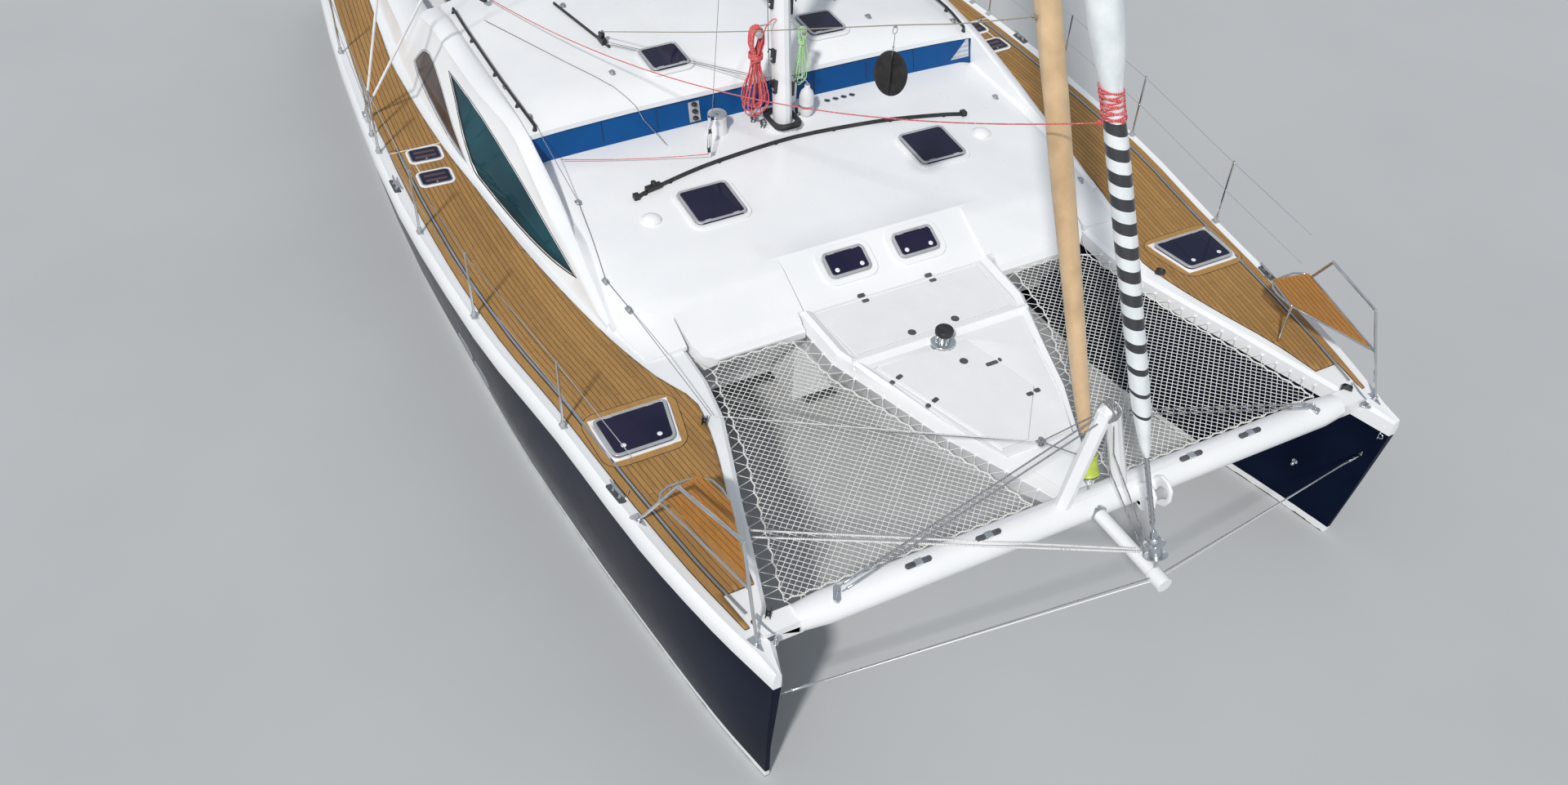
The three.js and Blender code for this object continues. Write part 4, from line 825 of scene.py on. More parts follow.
def lay_teak():
    for name, side in SIDES:
        planks = Shape()
        z0, z1 = TEAK_TOP - 0.006, TEAK_TOP + 0.002
        plank_run(planks, side, 0.004, OUTER_BOARD, TRACK_X[0], TEAK_X[1], z0, z1)
        offset = TRACK_BAND[1] + 0.008
        while offset < TEAK_DEPTH:
            plank_run(planks, side, offset, offset + PLANK_PITCH - PLANK_GAP, *TEAK_X, z0, z1)
            offset += PLANK_PITCH
        for near, far in ((0.004, 0.055), (0.061, TRACK_BAND[1])):
            plank_run(planks, side, near, far, TEAK_X[0], TRACK_X[0] - 0.01, z0, z1)
        field = planks.made("teak_planks_" + name, "teak")
        cut_to(field, teak_cutter(name), "INTERSECT")
        dress(field, "teak")
        boards, seam, strips = Shape(), Shape(), Shape()
        outline = bow_hatch_outline(side)
        banded(boards, polygon_offset(outline, 0.10), polygon_offset(outline, 0.034), z0, z1 + 0.0015)
        boards.made("teak_margin_" + name, "teak")
        banded(seam, polygon_offset(outline, 0.107), polygon_offset(outline, 0.100), z0, z1 + 0.0008)
        seam.made("teak_margin_seam_" + name, "caulk")
        for low, high in TEAK_DIVIDERS:
            inner, outer = sorted((side * low[1], side * high[1]))
            strips.block((low[0], inner, z0), (high[0], outer, z1 + 0.001))
        strips.made("teak_dividers_" + name, "gelcoat")
        track = Shape()
        rows = []
        steps = 60
        for k in range(steps + 1):
            x = TRACK_X[0] + (TRACK_X[1] - TRACK_X[0]) * k / steps
            edge = along(TEAK_OUTER, x)
            ys = [side * (edge - TRACK_BAND[0] - 0.004), side * (edge - TRACK_BAND[1] + 0.004)]
            rows.append([(x, ys[0], 1.69), (x, ys[0], 1.702), (x, ys[1], 1.702), (x, ys[1], 1.69)])
        track.rings(rows)
        track.made("toe_track_" + name, "anodised", bevel=0.002)


# Netting between the hulls
NET = [
    (4.01, 1.29), (3.99, 1.40), (3.99, 2.04), (4.08, 2.16), (4.66, 2.27), (5.16, 2.36), (6.50, 2.73),
    (6.74, 2.80), (6.75, 0.42), (6.28, 0.56), (5.76, 0.78), (5.18, 0.98), (4.70, 1.19), (4.40, 1.24),
]
NET_Z = 1.591
NET_MESH = 0.05
NET_REACH = round(2.6 / NET_MESH)
STRAND_RADIUS = 0.0036
KNOT_RADIUS = 0.0062


def crossings(outline, origin, direction):
    """Distances along a line at which it crosses the outline."""
    found = []
    for a, b in zip(outline, outline[1:] + outline[:1]):
        edge = Vector(b) - Vector(a)
        denominator = direction.x * edge.y - direction.y * edge.x
        if abs(denominator) < 1e-9:
            continue
        offset = Vector(a) - origin
        t = (offset.x * edge.y - offset.y * edge.x) / denominator
        u = (offset.x * direction.y - offset.y * direction.x) / denominator
        if 0 <= u < 1:
            found.append(t)
    return sorted(found)


def inside(outline, point):
    """Whether a slanting line from the point crosses the outline an odd number of times."""
    return len([t for t in crossings(outline, point, Vector((1, 0.0137))) if t > 0]) % 2 == 1


def resampled(outline, step):
    """The outline's points at even steps."""
    points = []
    for a, b in zip(outline, outline[1:] + outline[:1]):
        a, b = Vector(a), Vector(b)
        count = max(1, round((b - a).length / step))
        points += [a.lerp(b, k / count) for k in range(count)]
    return points


def net_knots(shape, outline, directions):
    """Small eight-sided knots where the strands cross; the net's middle comes back."""
    middle = sum((Vector(point) for point in outline), Vector((0, 0))) / len(outline)
    for i in range(-NET_REACH, NET_REACH):
        for j in range(-NET_REACH, NET_REACH):
            at = middle + directions[0] * (i * NET_MESH) + directions[1] * (j * NET_MESH)
            if not inside(outline, at):
                continue
            centre = Vector((at.x, at.y, NET_Z))
            tips = [centre + Vector(tip) * KNOT_RADIUS for tip in
                    ((1, 0, 0), (0, 1, 0), (-1, 0, 0), (0, -1, 0), (0, 0, 0.8), (0, 0, -0.8))]
            faces = [(k, (k + 1) % 4, 4) for k in range(4)] + [((k + 1) % 4, k, 5) for k in range(4)]
            shape.add(tips, faces)
    return middle


def net_strands(shape, outline, directions):
    """Two layers of strands, crossing at the knots."""
    middle = net_knots(shape, outline, directions)
    first, second = directions
    for direction, across, lift in ((first, second, 0.001), (second, first, -0.001)):
        for k in range(-NET_REACH, NET_REACH):
            origin = middle + across * (k * NET_MESH)
            cuts = crossings(outline, origin, direction)
            for start, end in zip(cuts[::2], cuts[1::2]):
                ends = [origin + direction * t for t in (start, end)]
                path = [(point.x, point.y, NET_Z + lift) for point in ends]
                shape.tube(path, STRAND_RADIUS, sides=4, caps=False)


def net_lacing(shape, outline, walls):
    """Scalloped edge rope, and the cord that zigzags from it to the structure around."""
    points = resampled(outline, 0.16)
    count = len(points)
    sign = winding(points)
    edge, anchors = [], []
    for i, here in enumerate(points):
        ahead = points[(i + 1) % count]
        run = (ahead - here).normalized()
        outward = Vector((run.y, -run.x)) * sign
        edge += [here + outward * 0.014, here.lerp(ahead, 0.5) - outward * 0.008]
        start = Vector((*(here.lerp(ahead, 0.5) + outward * 0.02), NET_Z))
        hit, _, _, distance = walls.ray_cast(start, Vector((*outward, 0)), 0.42)
        anchors.append(hit if hit and distance > 0.01 else None)
    rope = [(point.x, point.y, NET_Z) for point in edge]
    shape.tube(rope, 0.008, sides=6, loop=True)
    hooks = Shape()
    for i, anchor in enumerate(anchors):
        if anchor is None:
            continue
        pulls = [points[i], points[(i + 1) % count]]
        for pull in pulls:
            shape.tube([(pull.x, pull.y, NET_Z + 0.004), anchor], 0.0034, sides=5)
        hooks.turned(anchor, anchor - Vector((*points[i], NET_Z)), [(-0.022, 0.009), (0.004, 0.014)], 8)
    return hooks


def hang_nets():
    diagonals = [Vector((1, 1)).normalized(), Vector((1, -1)).normalized()]
    for name, side in SIDES:
        outline = [(x, side * y) for x, y in NET]
        walls = surface_of("hull_" + name, "deck_" + name, "nacelle", "sundeck", "crossbeam", "bridge_deck")
        net = Shape()
        net_strands(net, outline, diagonals)
        hooks = net_lacing(net, outline, walls)
        piece = net.made("net_" + name, "netting", merge=0)
        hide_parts("trampoline_" + name)
        hooks.made("net_hooks_" + name, "alloy")


lay_teak()
hang_nets()

# Hatches: rim round each lens, latches, hinges and a moulded surround; x, y, length, width
ROOF_HATCH = (0.27, 0.97, 0.45, 0.45)
SUNDECK_HATCH = (2.24, 1.32, 0.56, 0.56)
FRONT_HATCH = (3.436, 0.402, 0.29, 0.47)
LID_RADIUS = 0.06
LID_THICKNESS = 0.025
LATCH_RADIUS = 0.024


def rim_and_latches(name, outline, turn, hinge_x, opens, latches, hinge_ys):
    """Pieces that ride on a lid, in the frame of its upper face; none reaches past the hinge line."""
    limit = hinge_x + opens * 0.0006
    outer = [((max if opens > 0 else min)(x, limit), y) for x, y in polygon_offset(outline, 0.003)]
    rim = Shape()
    banded(rim, outer, polygon_offset(outline, -0.027), -0.012, 0.005, turn)
    rim.made(name + "_rim", "hatch_rim", name, bevel=0.004, angle=50)
    gasket = Shape()
    banded(gasket, polygon_offset(outline, -0.028), polygon_offset(outline, -0.036), -0.010, 0.0012, turn)
    gasket.made(name + "_gasket", "black", name)
    if latches:
        knobs = Shape()
        for x, y in latches:
            profile = [(-0.002, LATCH_RADIUS), (0.004, LATCH_RADIUS), (0.007, LATCH_RADIUS * 0.8)]
            knobs.turned(turn @ Vector((x, y, 0)), turn.to_3x3() @ UP, profile, 20)
        knobs.made(name + "_latches", "alloy", name)
    hinge = Shape()
    for y in hinge_ys:
        near, far = sorted((hinge_x + opens * 0.003, hinge_x + opens * 0.034))
        hinge.block((near, y - 0.035, -0.006), (far, y + 0.035, 0.008), turn)
    hinge.made(name + "_hinges", "hatch_rim", name, bevel=0.003)


def surround(name, outline, turn, width, hinge_x, opens):
    """Moulded ring round a lid, lower along the hinge so that the lid can stand open on it."""
    rings = []
    for (x0, y0), (x1, y1) in zip(polygon_offset(outline, width), polygon_offset(outline, 0.008)):
        share = min(1, max(0, (abs(x1 - hinge_x) - 0.03) / 0.03)) if (x1 - hinge_x) * opens > 0 else 0
        top = -LID_THICKNESS - 0.0015 + share * 0.0105
        rings.append([turn @ Vector(point) for point in
                      ((x0, y0, -0.06), (x0, y0, top), (x1, y1, top), (x1, y1, -0.06))])
    made = Shape()
    made.rings(rings + rings[:1], caps=False)
    made.made(name + "_surround", "gelcoat", bevel=0.007, angle=50)


def dress_hatches():
    for side_name, side in SIDES:
        for stem, (x, y, length, width), opens in (
            ("roof_hatch", ROOF_HATCH, -1), ("sundeck_hatch", SUNDECK_HATCH, -1),
            ("front_hatch", FRONT_HATCH, 1),
        ):
            name = f"{stem}_{side_name}"
            turn = standing(surface_of(name), x, side * y)
            low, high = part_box(name)
            turn.translation = (low + high) / 2 + turn.to_3x3() @ UP * (LID_THICKNESS / 2)
            outline = rounded_rectangle(length, width, LID_RADIUS)
            front = stem == "front_hatch"
            latches = [(0.07, offset * width) for offset in (-0.3, 0.3)] if front else []
            hinge_x = -opens * length / 2
            hinge_ys = [offset * width for offset in (-0.28, 0.28)]
            rim_and_latches(name, outline, turn, hinge_x, opens, latches, hinge_ys)
            surround(name, outline, turn, 0.075 if front else 0.052, hinge_x, opens)
        name = "bow_hatch_" + side_name
        turn = Matrix.Translation((0, 0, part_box(name)[1].z))
        outline = bow_hatch_outline(side)
        lens = Shape()
        lens.slab(polygon_offset(outline, -0.001), DECK_Z - 0.2, DECK_Z + 0.2)
        cut_to(bpy.data.objects[name + "_skin"], as_cutter(lens), "INTERSECT")
        latches = [(4.74, side * 2.99), (4.74, side * 3.33)]
        rim_and_latches(name, outline, turn, BOW_HATCH[0][0], 1, latches, [side * 2.93, side * 3.32])
        surround(name, outline, turn, 0.034, BOW_HATCH[0][0], 1)


SIDE_LIGHTS = ((-0.345, 3.58), (0.125, 3.60))
SIDE_LIGHT_SIZE = (0.25, 0.33, 0.045)
PORTLIGHTS = ((1.93, 0.86), (2.31, 0.77))
PORTLIGHT_SIZE = (0.30, 0.15, 0.07)


def small_hatches():
    """Fixed lights in the side decks and portlights in the topsides."""
    for side_name, side in SIDES:
        frames, lenses, gaskets, blinds = Shape(), Shape(), Shape(), Shape()
        for x, y in SIDE_LIGHTS:
            turn = placed((x, side * y, TEAK_TOP), side * math.radians(3))
            outline = rounded_rectangle(*SIDE_LIGHT_SIZE)
            banded(frames, polygon_offset(outline, 0.030), outline, -0.004, 0.012, turn)
            banded(gaskets, outline, polygon_offset(outline, -0.010), -0.004, 0.016, turn)
            lenses.slab(polygon_offset(outline, -0.010), -0.004, 0.013, turn)
            for ahead in (-0.045, 0.045):
                place = turn @ Matrix.Translation((ahead, 0, 0))
                blinds.slab(rounded_rectangle(0.045, 0.23, 0.008), 0.010, 0.0136, place)
            knob = [(0, 0.012), (0.004, 0.012), (0.006, 0.008)]
            gaskets.turned(turn @ Vector((0.09, 0, 0.012)), UP, knob, 16)
        frames.made("side_light_frames_" + side_name, "gelcoat", bevel=0.005, angle=50)
        gaskets.made("side_light_rims_" + side_name, "anodised", bevel=0.003, angle=50)
        lenses.made("side_light_lenses_" + side_name, "hatch_lens")
        blinds.made("side_light_blinds_" + side_name, "lens_blind")
        hull = surface_of("hull_" + side_name)
        rims, panes = Shape(), Shape()
        for x, z in PORTLIGHTS:
            point, normal, _, _ = hull.ray_cast(Vector((x, side * 6, z)), Vector((0, -side, 0)))
            if normal.y * side < 0:
                normal = -normal
            ahead = (Vector((1, 0, 0)) - normal * normal.x).normalized()
            turn = upright(point, ahead, normal)
            outline = rounded_rectangle(*PORTLIGHT_SIZE)
            banded(rims, polygon_offset(outline, 0.022), outline, -0.03, 0.006, turn)
            panes.slab(outline, -0.03, 0.003, turn)
        rims.made("portlight_rims_" + side_name, "stainless", bevel=0.004, angle=50)
        panes.made("portlight_panes_" + side_name, "tinted_glass")


# Deck fittings
def pad_eye(shape, turn, size=1.0):
    """Small base with a U of rod over it."""
    shape.slab(rounded_rectangle(0.075 * size, 0.032 * size, 0.012 * size), -0.004, 0.005, turn)
    arch = [
        turn @ Vector((0.022 * size * math.cos(math.pi * k / 8), 0,
                       0.004 + 0.028 * size * math.sin(math.pi * k / 8)))
        for k in range(9)
    ]
    shape.tube(arch, 0.0045 * size, 8)


def fairlead(shape, turn):
    """Low cheek block with a sheave."""
    shape.slab(rounded_rectangle(0.10, 0.055, 0.02), -0.006, 0.008, turn)
    sheave = [(0, 0.026), (0.006, 0.02), (0.016, 0.02), (0.022, 0.027), (0.026, 0.01)]
    shape.turned(turn @ Vector((0.0, 0, 0.006)), turn.to_3x3() @ UP, sheave, 16)


FAIRLEADS = {
    "sundeck": ((1.66, 2.54), (2.78, 2.70), (3.22, 2.64)),
    "roof": ((-1.33, 1.54), (-0.11, 2.66), (0.54, 2.62), (0.29, 1.59)),
}
JIB_TRACK = (
    (1.84, -1.98), (1.77, -1.76), (1.60, -0.94), (1.53, 0.0), (1.60, 0.94), (1.77, 1.76), (1.84, 1.98),
)
ROOF_TRACK = ((-1.42, 1.62), (-0.80, 1.52), (-0.20, 1.42))
ROOF_RAIL = ((-1.95, 2.66), (-1.2, 2.68), (-0.4, 2.68), (0.3, 2.67), (0.74, 2.64))
DECK_WINCH = (1.07, -0.71)
VENT = (2.22, 1.98)
FILLER_X, FILLER_YS = 1.01, [0.69 + 0.107 * k for k in range(4)]


def rail(shape, path, half_width, top_share, low, high):
    """Flat-topped rail along a path, between two heights over it."""
    low, high = UP * low, UP * high
    rings = []
    for i, here in enumerate(path):
        ahead = (path[min(i + 1, len(path) - 1)] - path[max(i - 1, 0)]).normalized()
        across = ahead.cross(UP).normalized() * half_width
        top = across * top_share
        rings.append([here - across + low, here - top + high, here + top + high, here + across + low])
    shape.rings(rings)


def jib_track(deck):
    """Curved track ahead of the mast, found by its points across the deck."""
    rows = faired([(y, x) for x, y in JIB_TRACK], 4)
    shape = Shape()
    path = [top_at(deck, x, y)[0] for y, x in rows]
    rail(shape, path, 0.017, 0.8, -0.01, 0.034)
    for end in (path[0], path[-1]):
        shape.block((-0.035, -0.03, 0.0), (0.035, 0.03, 0.055), Matrix.Translation(end))
    for k in range(2, len(path) - 2, 3):
        shape.turned(path[k] - UP * 0.01, UP, [(0, 0.03), (0.012, 0.03), (0.018, 0.02)], 12)
    shape.made("jib_track", "black", bevel=0.003)
    car = Shape()
    place = placed(path[4], math.radians(100))
    car.block((-0.09, -0.034, 0.01), (0.09, 0.034, 0.058), place)
    sheave = [(0, 0.03), (0.02, 0.026), (0.045, 0.03), (0.05, 0.012)]
    car.turned(place @ Vector((0, 0, 0.055)), UP, sheave, 16)
    car.made("jib_car", "black", bevel=0.006)


def winch(base):
    """Drum and bright top of a deck winch."""
    drum, top = Shape(), Shape()
    drum.turned(base, UP, [(-0.03, 0.125), (0.01, 0.125), (0.03, 0.112), (0.16, 0.100), (0.19, 0.108)], 32)
    top.turned(base, UP, [(0.188, 0.106), (0.205, 0.110), (0.222, 0.104), (0.226, 0.06), (0.218, 0.02)], 32)
    for k in range(4):
        turn = placed(base + UP * 0.235, k * math.pi / 4)
        top.block((-0.045, -0.004, -0.012), (0.045, 0.004, 0.0), turn)
    return drum, top


def deck_fittings():
    deck, top = surface_of("sundeck"), surface_of("roof")
    arches = surface_of("cabin_side_starboard", "cabin_side_port", "roof")
    leads, tracks, rails = Shape(), Shape(), Shape()
    for _, side in SIDES:
        for x, y in FAIRLEADS["sundeck"]:
            fairlead(leads, standing(deck, x, side * y, math.radians(-8 * side)))
        for x, y in FAIRLEADS["roof"]:
            fairlead(leads, standing(top, x, side * y))
        path = [top_at(top, x, side * y)[0] for x, y in faired(ROOF_TRACK, 4)]
        rail(tracks, path, 0.014, 0.7, 0.004, 0.030)
        place = Matrix.Translation(path[-2])
        tracks.block((-0.07, -0.032, 0.0), (0.07, 0.032, 0.06), place)
        tracks.turned(place @ Vector((0, 0, 0.06)), UP, [(0, 0.03), (0.03, 0.026), (0.04, 0.01)], 14)
        feet = [top_at(arches, x, side * y)[0] for x, y in ROOF_RAIL]
        raised = faired([(foot.x, foot.y, foot.z + 0.055) for foot in feet], 3)
        rails.tube([feet[0] - UP * 0.01, *raised, feet[-1] - UP * 0.01], 0.016, 10)
        for foot in feet:
            rails.turned(foot - UP * 0.012, UP, [(0, 0.03), (0.014, 0.026), (0.05, 0.012)], 12)
    leads.made("fairleads", "anodised", bevel=0.002)
    tracks.made("roof_tracks", "black", bevel=0.003)
    rails.made("roof_rails", "black", angle=60)
    jib_track(deck)
    drum, cap = winch(top_at(deck, *DECK_WINCH)[0])
    drum.made("winch_drum", "alloy", bevel=0.003)
    cap.made("winch_top", "stainless", bevel=0.002)
    vents = Shape()
    for side in (-1, 1):
        base, normal = top_at(deck, VENT[0], side * VENT[1])
        dome = [(-0.01, 0.105), (0.012, 0.105), (0.03, 0.085), (0.05, 0.05), (0.055, 0.012)]
        vents.turned(base, normal, dome, 28)
        for angle in angles(9):
            at = base + Vector((0.088 * math.cos(angle), 0.088 * math.sin(angle), 0.016))
            vents.ball(at, 0.016, 8, 0.7)
    vents.made("mushroom_vents", "gelcoat", angle=50)
    rings, wells = Shape(), Shape()
    for y in FILLER_YS:
        base, normal = top_at(deck, FILLER_X, y)
        rings.turned(base, normal, [(-0.006, 0.036), (0.006, 0.036), (0.009, 0.028), (0.002, 0.024)], 20)
        wells.turned(base, normal, [(-0.006, 0.025), (0.004, 0.025)], 16)
    rings.made("deck_filler_rims", "anodised")
    wells.made("deck_filler_caps", "black")


# Foredeck: hinge leaves, latches and hasps of the two lids, and the windlass
LOCKER_HINGE_X = 3.85
LOCKER_HINGES = (-0.42, 0.36)
LOCKER_LATCHES = ((4.48, -0.25), (4.48, 0.24))
ANCHOR_HINGES = (4.99, 5.395)
ANCHOR_HASPS = ((5.18, 0.14, 0.268), (5.68, 0.255, 0.322))
ANCHOR_KEEPERS = ((5.165, 0.288, 0.318), (5.665, 0.352, 0.410))
ANCHOR_LATCH = (5.04, -0.02)
ANCHOR_HINGE_LINE = ((4.78, -0.80), (0.9459, 0.3245))
WINDLASS = (4.73, -0.06)


def flush_latch(shape, centre):
    """Round latch with a lifting bar, level with the lid."""
    profile = [(-0.004, 0.042), (0.004, 0.042), (0.006, 0.034), (0.003, 0.030), (0.003, 0.012),
               (0.007, 0.010)]
    shape.turned(centre, UP, profile, 24)


def leaf(shape, turn, near, far, width, high=0.007):
    """Rounded plate along +Y of its frame, from near to far of the hinge line."""
    place = turn @ Matrix.Translation((0, (near + far) / 2, 0))
    shape.slab(rounded_rectangle(width, far - near, 0.014), -0.012, high, place)


def foredeck():
    lid_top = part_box("locker_lid")[1].z
    moving, fixed = Shape(), Shape()
    for y in LOCKER_HINGES:
        turn = placed((LOCKER_HINGE_X, y, lid_top), -math.pi / 2)
        leaf(moving, turn, 0.008, 0.052, 0.075)
        leaf(fixed, turn, -0.080, -0.036, 0.075, 0.012)
    for x, y in LOCKER_LATCHES:
        flush_latch(moving, (x, y, lid_top))
    moving.made("locker_lid_fittings", "dark_fitting", "locker_lid", bevel=0.004)
    moving = Shape()
    (start_x, start_y), (ahead, across) = ANCHOR_HINGE_LINE
    for x in ANCHOR_HINGES:
        turn = placed((x, start_y + (x - start_x) * across / ahead, lid_top), math.atan2(across, ahead))
        leaf(moving, turn, 0.006, 0.078, 0.045)
        leaf(fixed, turn, -0.080, -0.036, 0.045)
    for shape, rows in ((moving, ANCHOR_HASPS), (fixed, ANCHOR_KEEPERS)):
        for x, near, far in rows:
            leaf(shape, Matrix.Translation((x, 0, lid_top)), near, far, 0.045)
    flush_latch(moving, (*ANCHOR_LATCH, lid_top))
    moving.made("anchor_lid_fittings", "dark_fitting", "anchor_lid", bevel=0.004)
    fixed.made("foredeck_leaves", "dark_fitting", bevel=0.004)


def windlass_details():
    base = Vector((*WINDLASS, DECK_Z))
    low, high = Shape(), Shape()
    low.turned(base, UP, [(0.0, 0.122), (0.048, 0.122), (0.056, 0.100), (0.060, 0.070)], 32)
    low.turned(base, UP, [(0.055, 0.060), (0.10, 0.062), (0.13, 0.075), (0.145, 0.09)], 32)
    high.turned(base, UP, [(0.14, 0.088), (0.182, 0.090), (0.196, 0.082), (0.200, 0.055)], 32)
    for k in range(6):
        turn = placed(base, k * math.pi / 3)
        low.block((0.055, -0.007, 0.06), (0.080, 0.007, 0.14), turn)
    low.made("windlass_drum", "stainless", bevel=0.003)
    high.made("windlass_cap", "black", bevel=0.004)


# Crossbeam and bows: pads, eyes (x, y, size) and blocks
BEAM_PADS = (-1.73, -1.06, 1.06, 1.73)
BEAM_TOP = BEAM_Z + 0.128
BOW_EYES = ((6.92, 3.02, 1.5), (7.12, 3.06, 1.3), (7.05, 3.20, 1.2), (5.25, 3.50, 1.1))
STEM_EYE = (7.33, 3.13, 1.46)
BOW_BLOCKS = ((6.90, 3.02, 0.055), (4.74, 2.56, 0.03))


def beam_fittings():
    pads, eyes = Shape(), Shape()
    for y in BEAM_PADS:
        turn = placed((BEAM_X + 0.02, y, BEAM_TOP), math.pi / 2)
        pads.slab(rounded_rectangle(0.24, 0.046, 0.018), -0.03, 0.014, turn)
        eyes.slab(rounded_rectangle(0.07, 0.060, 0.010), -0.03, 0.017, turn)
    pads.made("beam_pads", "dark_fitting", bevel=0.004)
    for side in (-1, 1):
        turn = placed((BEAM_X + 0.01, side * 2.47, BEAM_TOP), 0.5 * side)
        eyes.slab(rounded_rectangle(0.16, 0.06, 0.02), -0.03, 0.008, turn)
        pad_eye(eyes, turn, 1.6)
        for x, y, scale in BOW_EYES:
            pad_eye(eyes, placed((x, side * y, DECK_Z + 0.004), 0.7 * side), scale)
        x, y, z = STEM_EYE
        pad_eye(eyes, placed((x, side * y, z), math.pi / 2, "Y"), 1.2)
    eyes.made("bow_eyes", "stainless", bevel=0.002)
    blocks = Shape()
    for side in (-1, 1):
        for x, y, rise in BOW_BLOCKS:
            base = Vector((x, side * y, DECK_Z + rise))
            turn = placed(base, 0.6 * side)
            for cheek in (-0.022, 0.016):
                blocks.slab(rounded_rectangle(0.10, 0.075, 0.03), cheek, cheek + 0.006,
                            turn @ Matrix.Rotation(math.pi / 2, 4, "X"))
            blocks.turned(base - turn.to_3x3() @ Vector((0, 0.016, 0)), turn.to_3x3() @ Vector((0, 1, 0)),
                          [(0, 0.033), (0.01, 0.024), (0.024, 0.024), (0.034, 0.033)], 18)
    blocks.made("bow_blocks", "black", bevel=0.002)


LINE_STEP, LINE_LIFT = 0.12, 0.012


def laid_over(surface, points):
    """Line through the points, kept a little above the surface under it."""
    path = []
    for a, b in zip(points, points[1:]):
        a, b = Vector(a), Vector(b)
        count = max(1, round((b - a).length / LINE_STEP))
        for k in range(count):
            at = a.lerp(b, k / count)
            met = below(surface, at.x, at.y)
            if met is not None:
                at.z = max(at.z, met.z + LINE_LIFT)
            path.append(at)
    return path + [Vector(points[-1])]


SEAT_RAIL = (
    (5.81, 3.446), (5.73, 3.41), (5.69, 3.32), (5.69, 3.16), (5.71, 3.05), (5.78, 2.975),
    (5.90, 2.945), (6.06, 2.945), (6.45, 3.06), (6.80, 3.165), (6.906, 3.194),
)
PULPIT_FEET = ((7.085, 3.21, -0.15), (5.555, 3.528, -0.3))
RAIL_RADIUS = 0.0115


def pulpit_rails():
    """Middle rail, rail round the seat and foot plates of each pulpit."""
    tubes, plates, seams = Shape(), Shape(), Shape()
    for name, side in SIDES:
        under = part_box("pulpit_seat_" + name)[0].z - 0.009
        deck = surface_of("deck_" + name, "hull_" + name)
        tubes.tube([(x, side * y, 2.13) for x, y in (SEAT_RAIL[0], SEAT_RAIL[-1])], RAIL_RADIUS, 10)
        tubes.tube([(x, side * y, under) for x, y in SEAT_RAIL], RAIL_RADIUS, 10)
        for x, y, turn in PULPIT_FEET:
            place = standing(deck, x, side * y, turn * side)
            wedge = round_corners([(-0.08, -0.055), (0.10, 0.0), (-0.08, 0.055)], 0.02)
            plates.slab(wedge, -0.006, 0.007, place)
            plates.turned(place @ Vector((0, 0, 0.004)), UP, [(0, 0.026), (0.03, 0.022), (0.036, 0.016)], 16)
        seat = surface_of("pulpit_seat_" + name)
        for row in range(1, 12):
            run = []
            for k in range(80):
                x = 5.62 + 1.32 * k / 79
                y = 3.49 - 0.27 * (x - 5.62) / 1.29 - 0.046 * row
                hit = below(seat, x, side * y, 3)
                if hit is not None:
                    run.append(hit + UP * 0.0004)
            if len(run) > 4:
                seams.tube(run[1:-1], 0.0022, 5, flat=0.5)
    seams.made("pulpit_seat_seams", "caulk")
    tubes.made("pulpit_rails", "stainless", angle=60)
    plates.made("pulpit_feet", "stainless", bevel=0.002)


def sprit_details():
    """Collar, end cap and foot wires at the bowsprit, and a ball fitting on the port hull."""
    metal, wires = Shape(), Shape()
    forward = (1, 0, 0.02)
    collar = [(0, 0.072), (0.012, 0.078), (0.05, 0.078), (0.062, 0.064)]
    metal.turned((7.075, 0, 1.663), forward, collar, 28)
    metal.block((7.09, -0.018, 1.56), (7.13, 0.018, 1.61))
    cap = [(0, 0.0615), (0.004, 0.064), (0.036, 0.064), (0.040, 0.0615)]
    metal.turned((7.925, 0, 1.6796), forward, cap, 28)
    hull = surface_of("hull_port")
    point, normal, _, _ = hull.ray_cast(Vector((6.73, 2.2, 0.62)), Vector((0, 1, 0)))
    outward = normal if normal.y < 0 else -normal
    stem = [(0, 0.030), (0.008, 0.030), (0.012, 0.012), (0.03, 0.012)]
    metal.turned(point - outward * 0.004, outward, stem, 18)
    metal.ball(point + outward * 0.045, 0.022, 14)
    metal.made("sprit_fittings", "stainless", angle=45)
    for shift in (-0.022, 0.022):
        ends = [roll_centre(SCREECHER_TACK, SCREECHER_HEAD, z) + Vector((0, shift, 0)) for z in (2.10, 2.86)]
        wires.tube(ends, 0.005, 7)
    wires.made("screecher_foot_wires", "grey_rope")


pulpit_rails()
dress_hatches()
small_hatches()
deck_fittings()
foredeck()
windlass_details()
beam_fittings()

# Foredeck treads flush with the lids
LOCKER_LID = [(3.82, -0.96), (4.53, -0.905), (4.53, 0.86), (3.82, 0.90)]
ANCHOR_LID = [(4.78, -0.80), (6.15, -0.33), (6.15, -0.06), (5.60, 0.39), (4.78, 0.17)]
AFT_TREAD = [(3.80, -0.975), (4.55, -0.945), (4.55, 0.945), (3.80, 0.975)]
FORE_TREAD = [
    (4.70, -0.93), (5.15, -0.73), (5.73, -0.56), (6.25, -0.355),
    (6.25, 0.355), (5.73, 0.56), (5.15, 0.73), (4.70, 0.93),
]


